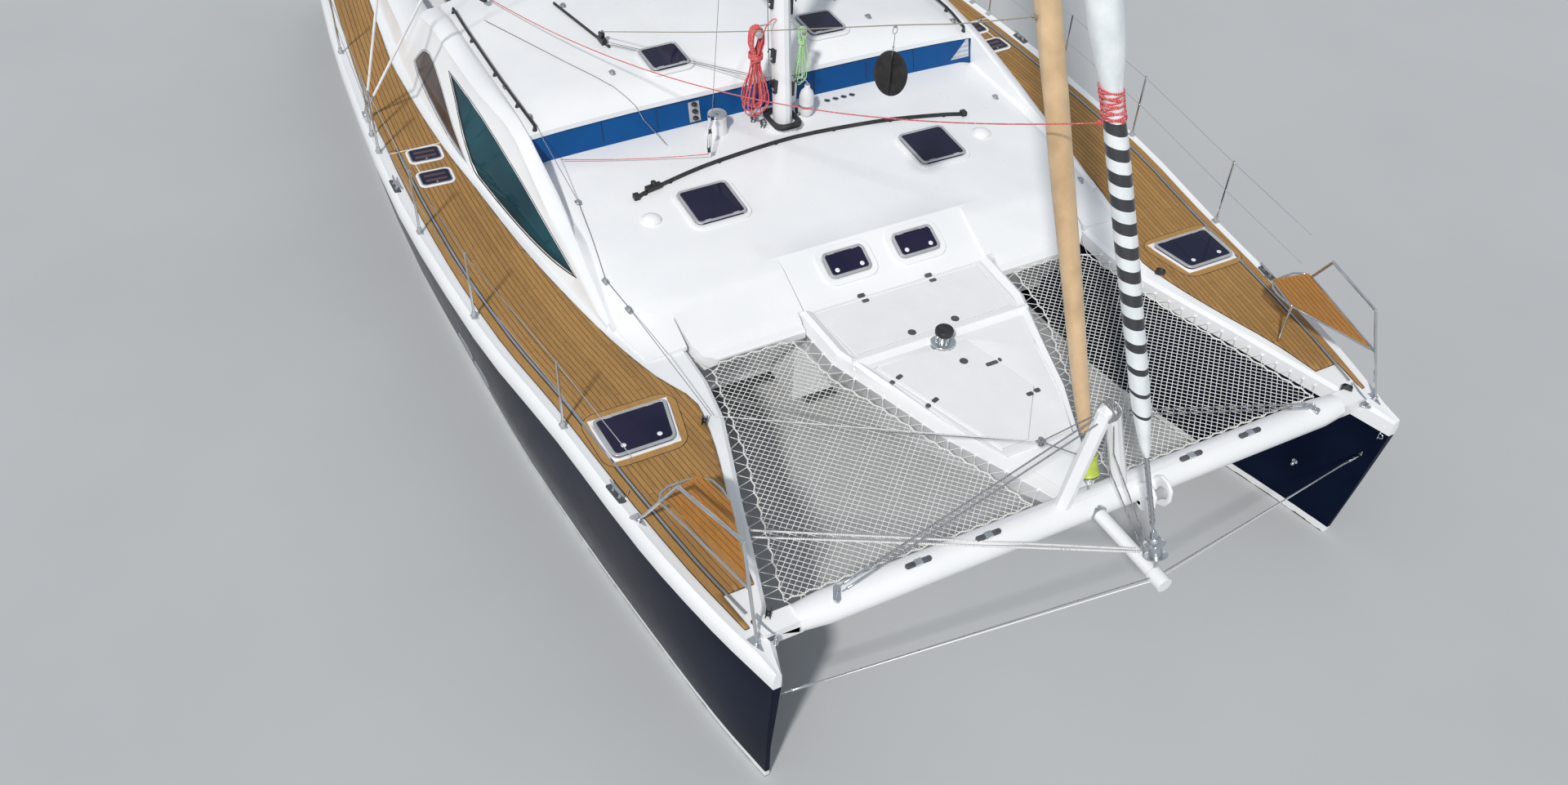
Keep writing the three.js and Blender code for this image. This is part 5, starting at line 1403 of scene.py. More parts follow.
def treads():
    """Grippy panels round the lids, cut clear of the lids, the windlass and the anchor lid's swing."""
    windlass = Shape()
    windlass.disc(Vector((*WINDLASS, DECK_Z - 0.1)), UP, 0.135, 0.2, 32)
    start, ahead = (Vector((*flat, 0)) for flat in ANCHOR_HINGE_LINE)
    across = Vector((ahead.y, -ahead.x, 0))
    swing = Shape()
    swing.slab([(start + ahead * run + across * out).to_2d()
                for run, out in ((-0.02, 0.034), (1.46, 0.034), (1.46, -0.03), (-0.02, -0.03))],
               DECK_Z - 0.1, DECK_Z + 0.1)
    for name, outline, lid, more in (
        ("aft_tread", AFT_TREAD, LOCKER_LID, ()), ("fore_tread", FORE_TREAD, ANCHOR_LID, (windlass, swing)),
    ):
        shape = Shape()
        shape.slab(outline, DECK_Z - 0.004, DECK_Z + 0.019)
        piece = shape.made(name, "grey_deck")
        opening = Shape()
        opening.slab(polygon_offset(lid, 0.005), DECK_Z - 0.1, DECK_Z + 0.1)
        for cutter in (opening, *more):
            cut_to(piece, as_cutter(cutter), "DIFFERENCE")
        rounded(dress(piece, "grey_deck"), 0.003)


# Joint between the cabin side and the sundeck
def joint_edges(deck, wall, x, side):
    """Where the sundeck ends and where the cabin side rises, as distances from the centreline."""
    edge, foot = 2.60, None
    for step in range(90):
        y = 2.60 + 0.005 * step
        low, high = below(deck, x, side * y), below(wall, x, side * y)
        if low is not None:
            edge = y
        if foot is None and high is not None and (low is None or high.z > low.z - 0.004):
            foot = y
    return edge, foot or edge + 0.03


def cabin_joints():
    """Moulded cove that closes the angle between the sundeck and each cabin side."""
    deck = surface_of("sundeck")
    for name, side in SIDES:
        wall = surface_of("cabin_side_" + name)
        joint = Shape()
        rings = []
        for k in range(40):
            x = 0.90 + 2.38 * k / 39
            edge, foot = joint_edges(deck, wall, x, side)
            y = edge + 0.003
            reach = max(y + 0.03, foot + 0.012)
            low = top_at(deck, x, side * (y - 0.055))[0].z
            high = top_at(deck, x, side * (y - 0.012))[0].z
            rise = min(0.05, max(0.004, top_at(wall, x, side * reach)[0].z - high + 0.004))
            rings.append([
                (x, side * (y - 0.055), low - 0.006), (x, side * (y - 0.02), high + rise * 0.25),
                (x, side * (y + 0.008), high + rise * 0.75), (x, side * reach, high + rise),
                (x, side * reach, high - 0.08), (x, side * (y - 0.055), low - 0.08),
            ])
        joint.rings(rings)
        joint.made("cabin_joint_" + name, "gelcoat", angle=60)


# Seals round the side windows, from the (x, z) points of their upper and lower edges
FORWARD_WINDOW_EDGES = (
    ((-1.010, 2.225), (-0.400, 2.235), (0.400, 2.160), (1.140, 2.070), (1.810, 1.960), (2.490, 1.830)),
    ((2.490, 1.830), (2.060, 1.775), (1.450, 1.745), (0.960, 1.735), (0.340, 1.735), (-0.120, 1.870),
     (-0.610, 2.080), (-1.010, 2.225)),
)
AFT_WINDOW_EDGES = (
    ((-1.990, 1.900), (-1.860, 2.080), (-1.660, 2.135), (-1.370, 2.095), (-0.690, 1.915), (0.0, 1.735)),
    ((0.0, 1.735), (-0.800, 1.770), (-1.810, 1.860), (-1.990, 1.900)),
)


def window_seal(name, edges, side, wall, finish):
    outline = []
    for edge in edges:
        outline += faired(edge, 4)[:-1]
    inner, outer = polygon_offset(outline, -0.012), polygon_offset(outline, 0.016)
    rings = []
    for near, far in zip(inner, outer):
        ring = []
        for (x, z), lift in ((far, -0.01), (far, 0.003), (near, 0.005), (near, -0.01)):
            hit = wall.ray_cast(Vector((x, side * 5, z)), Vector((0, -side, 0)))[0]
            if hit is None:
                break
            ring.append(hit + Vector((0, side * lift, lift * 0.3)))
        if len(ring) == 4:
            rings.append(ring)
    shape = Shape()
    shape.rings(rings + rings[:1], caps=False)
    shape.made(name, finish, angle=50)


def window_seals():
    for name, side in SIDES:
        wall = surface_of("cabin_side_" + name, "forward_window_" + name, "aft_window_" + name)
        window_seal("forward_window_seal_" + name, FORWARD_WINDOW_EDGES, side, wall, "black")
        window_seal("aft_window_seal_" + name, AFT_WINDOW_EDGES, side, wall, "anodised")


# Windscreen panels
GLASS_FOOT, GLASS_RISE = 2.12, 0.215
PANEL_JOINTS = (-1.93, -1.30, -0.62, 0.62, 1.30, 1.93)


def windscreen_details():
    """Joints between the panels, a strip with three rungs, and the pale corner to port, a grey panel painted
    as the shade and reflection of the recess wall.
    """
    glass = surface_of("windscreen")

    def on_glass(y, z):
        hit, normal, _, _ = glass.ray_cast(Vector((3, y, z)), Vector((-1, 0, 0)))
        return hit, (normal if normal.x > 0 else -normal)

    def plate(shape, rows, low, high):
        rings = []
        for z, ys in rows:
            near, far = (on_glass(y, z) for y in ys)
            rings.append([hit + normal * lift for (hit, normal), lift in
                          ((near, low), (near, high), (far, high), (far, low))])
        shape.rings(rings)

    joints = Shape()
    for y in PANEL_JOINTS:
        path = []
        for k in range(6):
            hit, normal = on_glass(y, GLASS_FOOT + GLASS_RISE * k / 5)
            path.append(hit + normal * 0.0015)
        joints.tube(path, 0.004, 6)
    joints.made("windscreen_joints", "black")
    strip = Shape()
    plate(strip, [(GLASS_FOOT + GLASS_RISE * k / 5, (-0.93, -0.80)) for k in range(6)], 0.002, 0.016)
    strip.made("windscreen_strip", "foot_grey", bevel=0.003)
    rungs = Shape()
    for k in range(3):
        hit, normal = on_glass(-0.865, 2.16 + 0.075 * k)
        rungs.ball(hit + normal * 0.025, 0.034, 10, 0.7)
    rungs.made("windscreen_rungs", "black", bevel=0.002)
    # Grey panel laid on the glass at the port end: painted shade and reflection of the windscreen recess's
    # side wall.
    corner = Shape()
    inner, outer = 2.44, 2.69
    rows = [(GLASS_FOOT + GLASS_RISE * k / 6, (inner + (outer - inner - 0.012) * k / 6, outer))
            for k in range(7)]
    plate(corner, rows, -0.004, 0.005)
    corner.made("windscreen_corner", "painted_shade_mesh", slot="grey_cloth")


treads()
cabin_joints()
window_seals()
windscreen_details()

# Ropes
def smooth(points, step=0.06):
    """Points at even steps on a soft curve through the given ones."""
    points = [Vector(point) for point in points]
    ends = [points[0] * 2 - points[1]] + points + [points[-1] * 2 - points[-2]]
    path = [points[0]]
    for a, b, c, d in zip(ends, ends[1:], ends[2:], ends[3:]):
        count = max(2, round((c - b).length / step))
        for t in shares(count)[1:]:
            path.append(0.5 * (b * 2 + (c - a) * t + (a * 2 - b * 5 + c * 4 - d) * t * t
                               + (b * 3 - a - c * 3 + d) * t ** 3))
    return path


def overhand(shape, at, size):
    """Stopper knot: a trefoil of rope."""
    path = []
    for turn in angles(36):
        reach = size * (1 + 0.42 * math.cos(3 * turn))
        path.append(Vector(at) + Vector((reach * math.cos(2 * turn), reach * math.sin(2 * turn),
                                         0.75 * size * math.sin(3 * turn))))
    shape.tube(path, size * 0.42, 6, loop=True)


def free_rope(name, path, diameter, finish):
    """Limp rope along a path."""
    path = [Vector(point) for point in path]
    shape = Shape()
    shape.tube(path, diameter / 2, 7)
    piece = shape.made(name, finish, angle=80)


class Hank:
    """Nested hanging loops of one rope, bound at the neck; u runs out from the mast, lanes along the peg."""

    def __init__(self, peg, side, diameter, lanes, length, spread, neck, mast_gap):
        self.peg = Vector(peg)
        self.side = side
        self.d = diameter
        self.lanes = lanes
        self.length = length
        self.spread = spread
        self.neck = neck
        self.gap = mast_gap
        self.pitch = 1.32 * diameter
        self.roller = 2.7 * diameter
        self.middle = (lanes - 0.5) / 2

    def at(self, u, lane, z):
        fan = 1 + 0.9 * self.ease((-z - self.neck - 0.05) / (self.length * 0.45))
        depth = (lane - self.middle) * self.pitch * fan
        return self.peg + Vector((-depth, self.side * u, z))

    def ease(self, t):
        t = min(1, max(0, t))
        return t * t * (3 - 2 * t)

    def reach(self, inner):
        return self.roller + self.d * (0.5 if inner else 1.85)

    def half(self, inner, low, foot, z):
        """Half width of a loop at a height below the peg."""
        top, neck = self.reach(inner), self.d * (0.68 if inner else 2.05)
        if -z < self.neck:
            t = -z / self.neck
            bulge = self.d * 1.6 * math.sin(math.pi * min(1, t)) ** 2
            return top + (neck - top) * self.ease(t) + bulge
        return neck + (foot - neck) * self.ease((-z - self.neck - 0.04) / (low - foot - self.neck - 0.04))

    def loop(self, inner, lane, onward):
        vary = math.sin(2.3 * lane + (1.1 if inner else 0))
        low = self.length * (1 - 0.075 * (1 + vary))
        foot = self.spread * ((0.50 if inner else 0.86) - 0.22 * math.sin(1.7 * lane))
        path = []
        steps = 13
        for k in range(1, steps + 1):
            z = -(low - foot) * k / steps
            path.append(self.at(-self.half(inner, low, foot, z), lane, z))
        for k in range(1, 9):
            turn = math.pi * k / 9
            path.append(self.at(-foot * math.cos(turn), lane, -(low - foot) - foot * math.sin(turn)))
        for k in range(steps, 0, -1):
            z = -(low - foot) * k / steps
            path.append(self.at(self.half(inner, low, foot, z), lane, z))
        last_inner, next_lane = onward
        start, end = self.reach(inner), self.reach(last_inner)
        for k in range(8):
            turn = math.pi * k / 7
            share = k / 7
            radius = start + (end - start) * share
            path.append(self.at(radius * math.cos(turn), lane + (next_lane - lane) * self.ease(share),
                                radius * math.sin(turn)))
        return path

    def path(self):
        out = self.reach(False)
        path = smooth([
            self.at(-self.gap, 0, 0.13), self.at(-self.gap * 0.75, 0, 0.125), self.at(-out - 0.03, 0, 0.075),
            self.at(-out, 0, 0.0),
        ], 0.03)
        order = [(False, lane) for lane in range(self.lanes)]
        order += [(True, lane + 0.5) for lane in range(self.lanes - 1, -1, -1)]
        order.append((True, -1.0))
        for (inner, lane), onward in zip(order, order[1:]):
            path += self.loop(inner, lane, onward)
        return path + self.wrap()

    def wrap(self):
        """From the peg down the front, round the neck, then a short tail."""
        radius = math.hypot(2.05 * self.d, self.middle * self.pitch) + 1.1 * self.d
        turns = 4
        bend = 2.6 * self.d
        top = -self.neck + 2.2 * self.d
        path = []
        start = self.peg + Vector(((self.middle + 1.0) * self.pitch, -self.side * self.reach(True), -0.012))
        entry = self.peg + Vector((radius, 0, top + bend))
        for k in range(1, 9):
            share = k / 8
            eased = self.ease(share)
            path.append(Vector((
                start.x + (entry.x - start.x) * eased, start.y + (entry.y - start.y) * eased,
                start.z + (entry.z - start.z) * share,
            )))

        def on(run, z, grow=0.0):
            turn, reach = run / radius, radius + grow
            return self.peg + Vector((reach * math.cos(turn), self.side * reach * math.sin(turn), z))

        for k in range(1, 6):
            turn = math.pi / 2 * k / 5
            path.append(on(bend * (1 - math.cos(turn)), top + bend * (1 - math.sin(turn))))
        whole = 2 * math.pi * radius * turns
        count = 16 * turns
        for k in range(1, count + 1):
            path.append(on(bend + whole * k / count, top - 1.2 * self.d * turns * k / count))
        low = top - 1.2 * self.d * turns
        for k in range(1, 6):
            turn = math.pi / 2 * k / 5
            path.append(on(bend + whole + bend * math.sin(turn), low - bend * (1 - math.cos(turn)),
                           0.004 * k))
        for k in range(1, 7):
            path.append(on(2 * bend + whole, low - bend - 0.04 * k, 0.02 + 0.007 * k))
        return path


def hang_hank(name, finish, hank):
    """The hank's rope and end knot, on a peg with a bracket to the mast."""
    path = hank.path()
    end = Shape()
    overhand(end, path[-1] - UP * hank.d * 0.9, hank.d * 0.95)
    tip = end.made(name + "_knot", finish, angle=80)
    free_rope(name, path, hank.d, finish)
    peg = Shape()
    half = (hank.middle + 1.9) * hank.pitch
    peg.turned(hank.peg + Vector((-half, 0, 0)), Vector((1, 0, 0)),
               [(0, hank.roller * 0.9), (0.004, hank.roller * 0.94), (2 * half, hank.roller * 0.94),
                (2 * half + 0.004, hank.roller * 0.9)], 20)
    peg.made(name + "_peg", "foot_grey", bevel=0.003)
    arm = Shape()
    back = hank.peg + Vector((-half - 0.01, 0, 0))
    arm.tube(smooth([back + Vector((0.02, 0, 0)), back, back + Vector((-0.012, -0.5 * hank.side * 0.03, 0)),
                     (back.x + 0.01, hank.side * 0.085, back.z)], 0.03), 0.008, 8)
    arm.made(name + "_bracket", "stainless")


# Mast foot: hanks (peg, side, diameter, lanes, length, spread, neck, gap to the mast) and fittings
RED_HANK = ((1.14, -0.30, 3.22), -1, 0.014, 6, 0.99, 0.145, 0.27, 0.20)
GREEN_HANK = ((1.10, 0.27, 3.10), 1, 0.009, 3, 0.66, 0.075, 0.13, 0.17)
# height, share of the section's half length ahead of its middle, side
JAMMERS = ((2.58, 0.3, -1), (2.92, 0.2, -1), (3.50, 0.1, -1), (3.66, 0.5, -1), (2.50, 0.2, 1), (3.40, 0.1, 1))
FOOT_BLOCKS = ((1.07, -0.27), (1.21, -0.22), (1.14, 0.25))
BUFFER = (1.17, 0.33, 2.09)


def mast_fittings():
    hang_hank("red_hank", "red_rope", Hank(*RED_HANK))
    hang_hank("green_hank", "green_rope", Hank(*GREEN_HANK))
    collar = Shape()
    centre = Matrix.Translation((MAST_STEP.x - 0.005, 0, 0))
    banded(collar, rounded_rectangle(0.44, 0.33, 0.10), rounded_rectangle(0.30, 0.235, 0.09),
           2.148, 2.186, centre)
    for x, y in ((0.17, 0.12), (0.17, -0.12), (-0.17, 0.12), (-0.17, -0.12)):
        collar.turned((MAST_STEP.x + x, y, 2.18), UP, [(0, 0.016), (0.012, 0.016), (0.016, 0.008)], 12)
    collar.made("mast_collar", "black", bevel=0.005)
    jammers, chrome, whites = Shape(), Shape(), Shape()
    for z, share, side in JAMMERS:
        x = mast_x(z) + 0.135 * share
        edge = 0.1 * math.sqrt(1 - share * share)
        jammers.block((x - 0.028, side * edge - 0.03, z - 0.075), (x + 0.028, side * edge + 0.03, z + 0.075))
        jammers.tube([(x, side * (edge + 0.02), z + 0.06), (x, side * (edge + 0.06), z + 0.09),
                      (x, side * (edge + 0.075), z + 0.05)], 0.009, 8)
        button = [(0, 0.02), (0.012, 0.02), (0.016, 0.012)]
        chrome.turned((x, side * (edge + 0.028), z - 0.03), (0, side, 0), button, 14)
    decks = surface_of("sundeck", "mast")
    for x, y in FOOT_BLOCKS:
        foot, _ = top_at(decks, x, y, 2.4)
        chrome.turned(foot, UP, [(-0.004, 0.03), (0.008, 0.03), (0.012, 0.014), (0.03, 0.012)], 16)
        for cheek in (-0.02, 0.02):
            jammers.disc(foot + Vector((0, cheek - 0.004, 0.062)), (0, 1, 0), 0.034, 0.008, 18)
        chrome.disc(foot + Vector((0, -0.016, 0.062)), (0, 1, 0), 0.026, 0.032, 18)
    jammers.made("mast_jammers", "black", bevel=0.005)
    chrome.made("mast_chrome", "stainless", bevel=0.002)
    whites.block((1.00, 0.105, 2.24), (1.13, 0.235, 2.53))
    whites.made("mast_cabinet", "alloy", bevel=0.03)
    buffer = Shape()
    at = Vector(BUFFER)
    buffer.turned(at, UP, [
        (0.0, 0.03), (0.012, 0.058), (0.045, 0.078), (0.10, 0.083), (0.24, 0.083),
        (0.30, 0.066), (0.335, 0.036), (0.35, 0.030), (0.375, 0.030),
    ], 28)
    buffer.made("mast_buffer", "white_vinyl", bevel=0.004)
    strap = Shape()
    strap.disc(at + UP * 0.115, UP, 0.0848, 0.03, 28)
    strap.turned(at + UP * 0.373, UP, [(0, 0.02), (0.014, 0.026), (0.02, 0.016)], 16)
    strap.made("mast_buffer_band", "anodised")
    top = (mast_x(2.56) + 0.03, 0.165, 2.56)
    line = smooth([at + UP * 0.385, at + Vector((0, -0.004, 0.41)), (1.15, 0.24, 2.58), top], 0.02)
    free_rope("buffer_line", line, 0.007, "white_rope")


def halyards():
    """Taut lines up the mast, each from (height, x off the mast's centre, y) to the masthead."""
    red, pale, dark = Shape(), Shape(), Shape()
    for shape, foot, head, radius in (
        (red, (3.7, 0.07, -0.128), (0.06, -0.075), 0.006),
        (pale, (3.6, 0.02, -0.145), (0.02, -0.078), 0.006),
        (dark, (2.7, -0.03, -0.135), (-0.02, -0.075), 0.005),
        (pale, (3.5, 0.02, 0.14), (0.02, 0.078), 0.0055),
    ):
        ends = (foot, (MASTHEAD_Z, *head))
        shape.tube([(mast_x(z) + ahead, across, z) for z, ahead, across in ends], radius, 7)
    red.made("red_halyard", "red_rope")
    pale.made("white_halyards", "white_rope")
    dark.made("grey_halyard", "grey_rope")


DISC_EDGE = ((-0.006, 0.02), (-0.0055, 0.006), (-0.003, 0), (0.003, 0), (0.0055, 0.006), (0.006, 0.02))


def sheets():
    """Sheets of the two furled sails, led aft to the roof, and the day shape hung on one."""
    car = Vector((-0.33, -1.46, 2.735))
    clew = Vector((5.30, -0.135, 5.38))
    hook = Vector((3.93, -0.44, 4.70))
    eye = Shape()
    overhand(eye, clew, 0.016)
    knot = eye.made("genoa_sheet_knot", "tan_rope", angle=80)
    run = [car, car.lerp(hook, 0.5) - UP * 0.03, hook, hook.lerp(clew, 0.5) - UP * 0.02, clew]
    free_rope("genoa_sheet", smooth(run, 0.2), 0.010, "tan_rope")
    tie = Shape()
    tie.turned(hook - UP * 0.012, Vector((1, 0.15, 0.2)), [(-0.012, 0.012), (0.012, 0.012)], 12)
    link = [hook + Vector((0, 0.022 * math.sin(turn), -0.045 + 0.034 * math.cos(turn)))
            for turn in angles(16)]
    tie.tube(link, 0.004, 7, loop=True)
    tie.made("day_shape_hook", "stainless")
    radius = 0.215
    centre = hook - UP * (0.235 + radius)
    drop = smooth([hook - UP * 0.075, hook - UP * 0.12 + Vector((0.006, 0, 0)),
                   centre + UP * (radius + 0.045)], 0.03)
    free_rope("day_shape_line", drop, 0.006, "grey_rope")
    discs, ring = Shape(), Shape()
    for angle, wide in ((-48, 0.150), (48, 0.060)):
        turn = Matrix.Rotation(math.radians(angle), 3, "Z")
        facing, across = turn @ Vector((1, 0, 0)), turn @ Vector((0, 1, 0))
        discs.rings([
            [centre + facing * lift + across * ((wide - inset) * math.cos(t))
             + UP * ((radius - inset) * math.sin(t)) for t in angles(56)]
            for lift, inset in DISC_EDGE
        ])
        for reach in (0.5, 0.8):
            ridge = [centre + across * (wide * reach * math.cos(t)) + UP * (radius * reach * math.sin(t))
                     for t in angles(40)]
            discs.tube(ridge, 0.0085, 6, loop=True)
    discs.made("day_shape", "black", angle=40)
    ring.tube([centre + UP * (radius - 0.01), centre + UP * (radius + 0.03)], 0.007, 8)
    ring.ball(centre + UP * (radius + 0.036), 0.011, 10)
    ring.made("day_shape_eye", "stainless")
    start = Vector((-1.79, -2.34, 2.665))
    end = Vector((6.22, -0.135, 5.0))
    finish = Shape()
    overhand(finish, end, 0.015)
    knot = finish.made("screecher_sheet_knot", "red_rope", angle=80)
    free_rope("screecher_sheet", sagging(start, end, 0.5, 40), 0.011, "red_rope")
    cars = Shape()
    for foot, turn in ((Vector((-1.79, -2.34, 2.6)), 0.4), (Vector((-0.33, -1.46, 2.66)), 0.2)):
        place = placed(foot, turn)
        axle = place.to_3x3() @ Vector((0, 1, 0))
        cars.slab(rounded_rectangle(0.11, 0.05, 0.02), -0.015, 0.012, place)
        for cheek in (-0.022, 0.014):
            cars.disc(place @ Vector((0, cheek, 0.05)), axle, 0.036, 0.008, 18)
        cars.disc(place @ Vector((0, -0.018, 0.05)), axle, 0.026, 0.036, 16)
    cars.made("roof_blocks", "black", bevel=0.003)
    short = sagging((0.97, -2.46, 2.13), (1.55, -1.03, 2.165), 0.025, 18)
    free_rope("car_line", short, 0.009, "red_rope")


def car_tackle():
    """Blocks and thin line between the track's car and the winch."""
    blocks, line = Shape(), Shape()
    for at, size in (((1.53, -1.02, 2.20), 0.034), ((1.36, -0.93, 2.31), 0.03), ((1.27, -0.86, 2.40), 0.026)):
        for cheek in (-0.016, 0.010):
            blocks.disc(Vector(at) + Vector((0, cheek, 0)), (0.35, 1, 0), size, 0.006, 16)
        blocks.disc(Vector(at) + Vector((0, -0.012, 0)), (0.35, 1, 0), size * 0.7, 0.026, 14)
    for offset in (-0.02, 0.0, 0.02):
        line.tube([(1.53, -1.02 + offset, 2.225), (1.36, -0.93 + offset, 2.29)], 0.0035, 6)
        line.tube([(1.35, -0.93 + offset * 0.6, 2.33), (1.27, -0.86 + offset * 0.6, 2.385)], 0.003, 6)
    line.tube([(1.26, -0.86, 2.42), (mast_x(9.4) + 0.1, -0.10, 9.4)], 0.0035, 6)
    blocks.made("tackle_blocks", "black", bevel=0.003)
    line.made("tackle_lines", "grey_rope")


def stay_with_screw(cable, metal, low, high, radius=0.006, screw=0.16):
    """Wire from a turnbuckle at its low end."""
    low, high = Vector(low), Vector(high)
    along = (high - low).normalized()
    cable.tube([low + along * (screw + 0.06), high], radius, 8)
    metal.tube([low, low + along * 0.05], radius * 0.9, 8)
    barrel = [(0, 0.006), (0.012, 0.012), (screw - 0.02, 0.012), (screw, 0.006)]
    metal.turned(low + along * 0.04, along, barrel, 12)
    metal.tube([low + along * screw, low + along * (screw + 0.10)], [radius * 1.6, radius * 1.2], 8)
    for k in (0.0, screw * 0.5):
        metal.disc(low + along * (0.04 + k), along, 0.0145, 0.012, 6)


APEX = Vector((6.92, 0, 2.70))


def bow_rigging():
    """A-frame stays and straps, thin lines to the roof and the winch, and the bowsprit's guys."""
    dark, metal, white, straps = Shape(), Shape(), Shape(), Shape()
    for side in (-1, 1):
        for spread in (-0.028, 0.028):
            low = Vector((6.99 + spread, side * 2.44, BEAM_Z + 0.165))
            stay_with_screw(dark, metal, low, APEX + Vector((spread, side * 0.07, -0.06)), 0.0075, 0.20)
    for x in (-0.03, 0.03):
        dark.tube([APEX + Vector((0.02, x, 0.0)), (7.05, x * 1.6, 2.3), (7.72, x, 1.80)], 0.006, 7)
    path = [APEX + Vector((0.085 * math.cos(turn), 0.012 * math.sin(3 * turn),
                           -0.005 + 0.085 * math.sin(turn))) for turn in angles(24)]
    for shift in (-0.03, 0.0, 0.03):
        straps.tube([point + Vector((0, shift, 0)) for point in path], 0.012, 8, loop=True)
    straps.made("apex_straps", "grey_rope", angle=70)
    for start in ((6.13, -2.80, 1.80), (6.20, -2.82, 1.80)):
        white.tube([start, (start[0] + 1.50, -0.03, 1.80 - 0.035 * (start[0] < 6.15))], 0.0085, 8)
    knot = Vector((6.55, -0.29, 2.13))
    fitting = Vector((4.76, -2.50, 1.76))
    white.tube([fitting, knot], 0.0048, 8)
    decks = surface_of("sundeck", "roof", "windscreen")
    led = [top_at(decks, 0.54, -2.62)[0] + UP * 0.022]
    led += [top_at(decks, x, -y)[0] + UP * 0.022 for x, y in FAIRLEADS["sundeck"]]
    dark.tube(laid_over(decks, led + [fitting]), 0.004, 6)
    over = [top_at(decks, -1.45, -2.45)[0] + UP * 0.05, top_at(decks, 0.54, -1.68)[0] + UP * 0.03,
            top_at(decks, 1.14, -1.34)[0] + UP * 0.04]
    dark.tube(laid_over(decks, over), 0.004, 6)
    for y in (-1.40, -1.45):
        start = top_at(decks, -0.22, y)[0] + UP * 0.05
        dark.tube(laid_over(decks, [start, Vector((1.10, -0.13 + (y + 1.40), 2.62))]), 0.0038, 6)
    dark.tube([knot, APEX + Vector((-0.05, -0.05, -0.05))], 0.0055, 7)
    dark.tube([knot, (6.93, -0.20, 2.28)], 0.0055, 7)
    dark.tube([knot, (5.72, -1.32, 1.93), (4.6, -2.35, 1.80)], 0.004, 6)
    overhand(dark, knot, 0.026)
    dark.made("bow_lines_dark", "grey_rope", angle=60)
    metal.made("bow_turnbuckles", "stainless", angle=40)
    white.made("furling_lines", "white_rope")
    guys, screws = Shape(), Shape()
    for side in (-1, 1):
        stay_with_screw(guys, screws, (7.30, side * 3.05, 1.235), (7.88, side * 0.06, 1.69), 0.0055, 0.22)
    guys.made("sprit_guys", "grey_rope")
    screws.made("sprit_turnbuckles", "stainless", angle=40)


def furlers():
    """Furler drums, their cages and the foot shackles."""
    cage, lime, shackle = Shape(), Shape(), Shape()
    genoa = Vector((6.93, 0, 1.86))
    rake = Vector((-0.468, 0, 1)).normalized()
    spool = [(0, 0.088), (0.01, 0.092), (0.03, 0.082), (0.155, 0.082), (0.175, 0.092), (0.185, 0.088)]
    lime.turned(genoa + rake * 0.075, rake, spool, 28)
    lime.made("genoa_drum", "lime", bevel=0.003)
    neck = [(0, 0.085), (0.02, 0.085), (0.03, 0.05), (0.09, 0.036), (0.14, 0.030)]
    cage.turned(genoa + rake * 0.268, rake, neck, 24)
    cage.turned(genoa - rake * 0.01, rake, [(0, 0.03), (0.05, 0.05), (0.07, 0.088), (0.078, 0.088)], 24)
    sprit = Vector((7.84, 0, 1.80))
    lean = Vector((-0.502, 0, 1)).normalized()
    cage.turned(sprit + lean * 0.05, lean, [
        (0, 0.05), (0.012, 0.098), (0.022, 0.098), (0.03, 0.05), (0.11, 0.045),
        (0.12, 0.09), (0.132, 0.09), (0.15, 0.04), (0.24, 0.026),
    ], 28)
    cage.turned(sprit + lean * 0.24, lean, [(0, 0.016), (0.06, 0.014)], 12)
    cage.made("furler_cages", "stainless", bevel=0.002)
    for k in range(3):
        at = sprit + lean * (0.99 + 0.025 * k)
        shackle.turned(at, lean, [(-0.012, 0.020), (-0.006, 0.027), (0.006, 0.027), (0.012, 0.020)], 14)
    path = []
    count = 15 * 18
    for k in range(count + 1):
        turn = 2 * math.pi * k / 18
        height = 5.0 + 0.20 * k / count
        radius = along(SCREECHER_ROLL, height) + 0.008 + 0.006 * abs(math.sin(turn * 0.37))
        wave = 0.012 * math.sin(turn * 1.31)
        centre = roll_centre(SCREECHER_TACK, SCREECHER_HEAD, height + wave)
        path.append(centre + Vector((radius * math.cos(turn), radius * math.sin(turn), 0)))
    shackle.tube(path, 0.0065, 6)
    shackle.made("screecher_lashing", "red_rope", angle=60)


def roller_housing():
    """White anchor roller housing on the beam's front, to port of the bowsprit."""
    shape, wheel = Shape(), Shape()
    cheek = [
        (7.03, 1.60), (7.06, 1.80), (7.13, 1.865), (7.22, 1.86),
        (7.285, 1.80), (7.30, 1.70), (7.26, 1.60), (7.17, 1.545),
    ]
    for y in (0.43, 0.60):
        points = [Vector((x, y + dy, z)) for dy in (0, 0.035) for x, z in cheek]
        count = len(cheek)
        faces = [tuple(range(count)), tuple(range(count, 2 * count))]
        faces += [(k, (k + 1) % count, (k + 1) % count + count, k + count) for k in range(count)]
        shape.add(points, faces)
    shape.block((7.03, 0.43, 1.58), (7.16, 0.635, 1.64))
    shape.made("roller_cheeks", "gelcoat", bevel=0.012)
    waisted = [(0, 0.062), (0.03, 0.045), (0.10, 0.045), (0.131, 0.062)]
    wheel.turned((7.205, 0.467, 1.73), (0, 1, 0), waisted, 24)
    wheel.disc((7.205, 0.425, 1.73), (0, 1, 0), 0.016, 0.215, 12)
    wheel.made("anchor_roller", "foot_grey", bevel=0.003)


# Furled sails: a roll of cloth on its stay, its leech winding round it; rolls by (height, radius)
GENOA_TACK, GENOA_HEAD = Vector((6.93, 0, 1.86)), Vector((-0.491, 0, 17.7))
SCREECHER_TACK, SCREECHER_HEAD = Vector((7.84, 0, 1.80)), Vector((-0.566, 0, 18.3))
GENOA_ROLL = [(2.30, 0.050), (2.60, 0.070), (4.00, 0.090), (5.50, 0.106), (9.50, 0.110), (14.50, 0.070),
              (17.00, 0.024)]
SCREECHER_ROLL = [(2.64, 0.026), (2.78, 0.052), (3.10, 0.080), (4.85, 0.090), (4.98, 0.082), (5.10, 0.076),
                  (5.22, 0.086), (5.50, 0.128), (6.00, 0.146), (6.50, 0.148), (11.0, 0.118), (17.5, 0.026)]


def roll_centre(tack, head, height):
    return tack.lerp(head, (height - tack.z) / (head.z - tack.z))


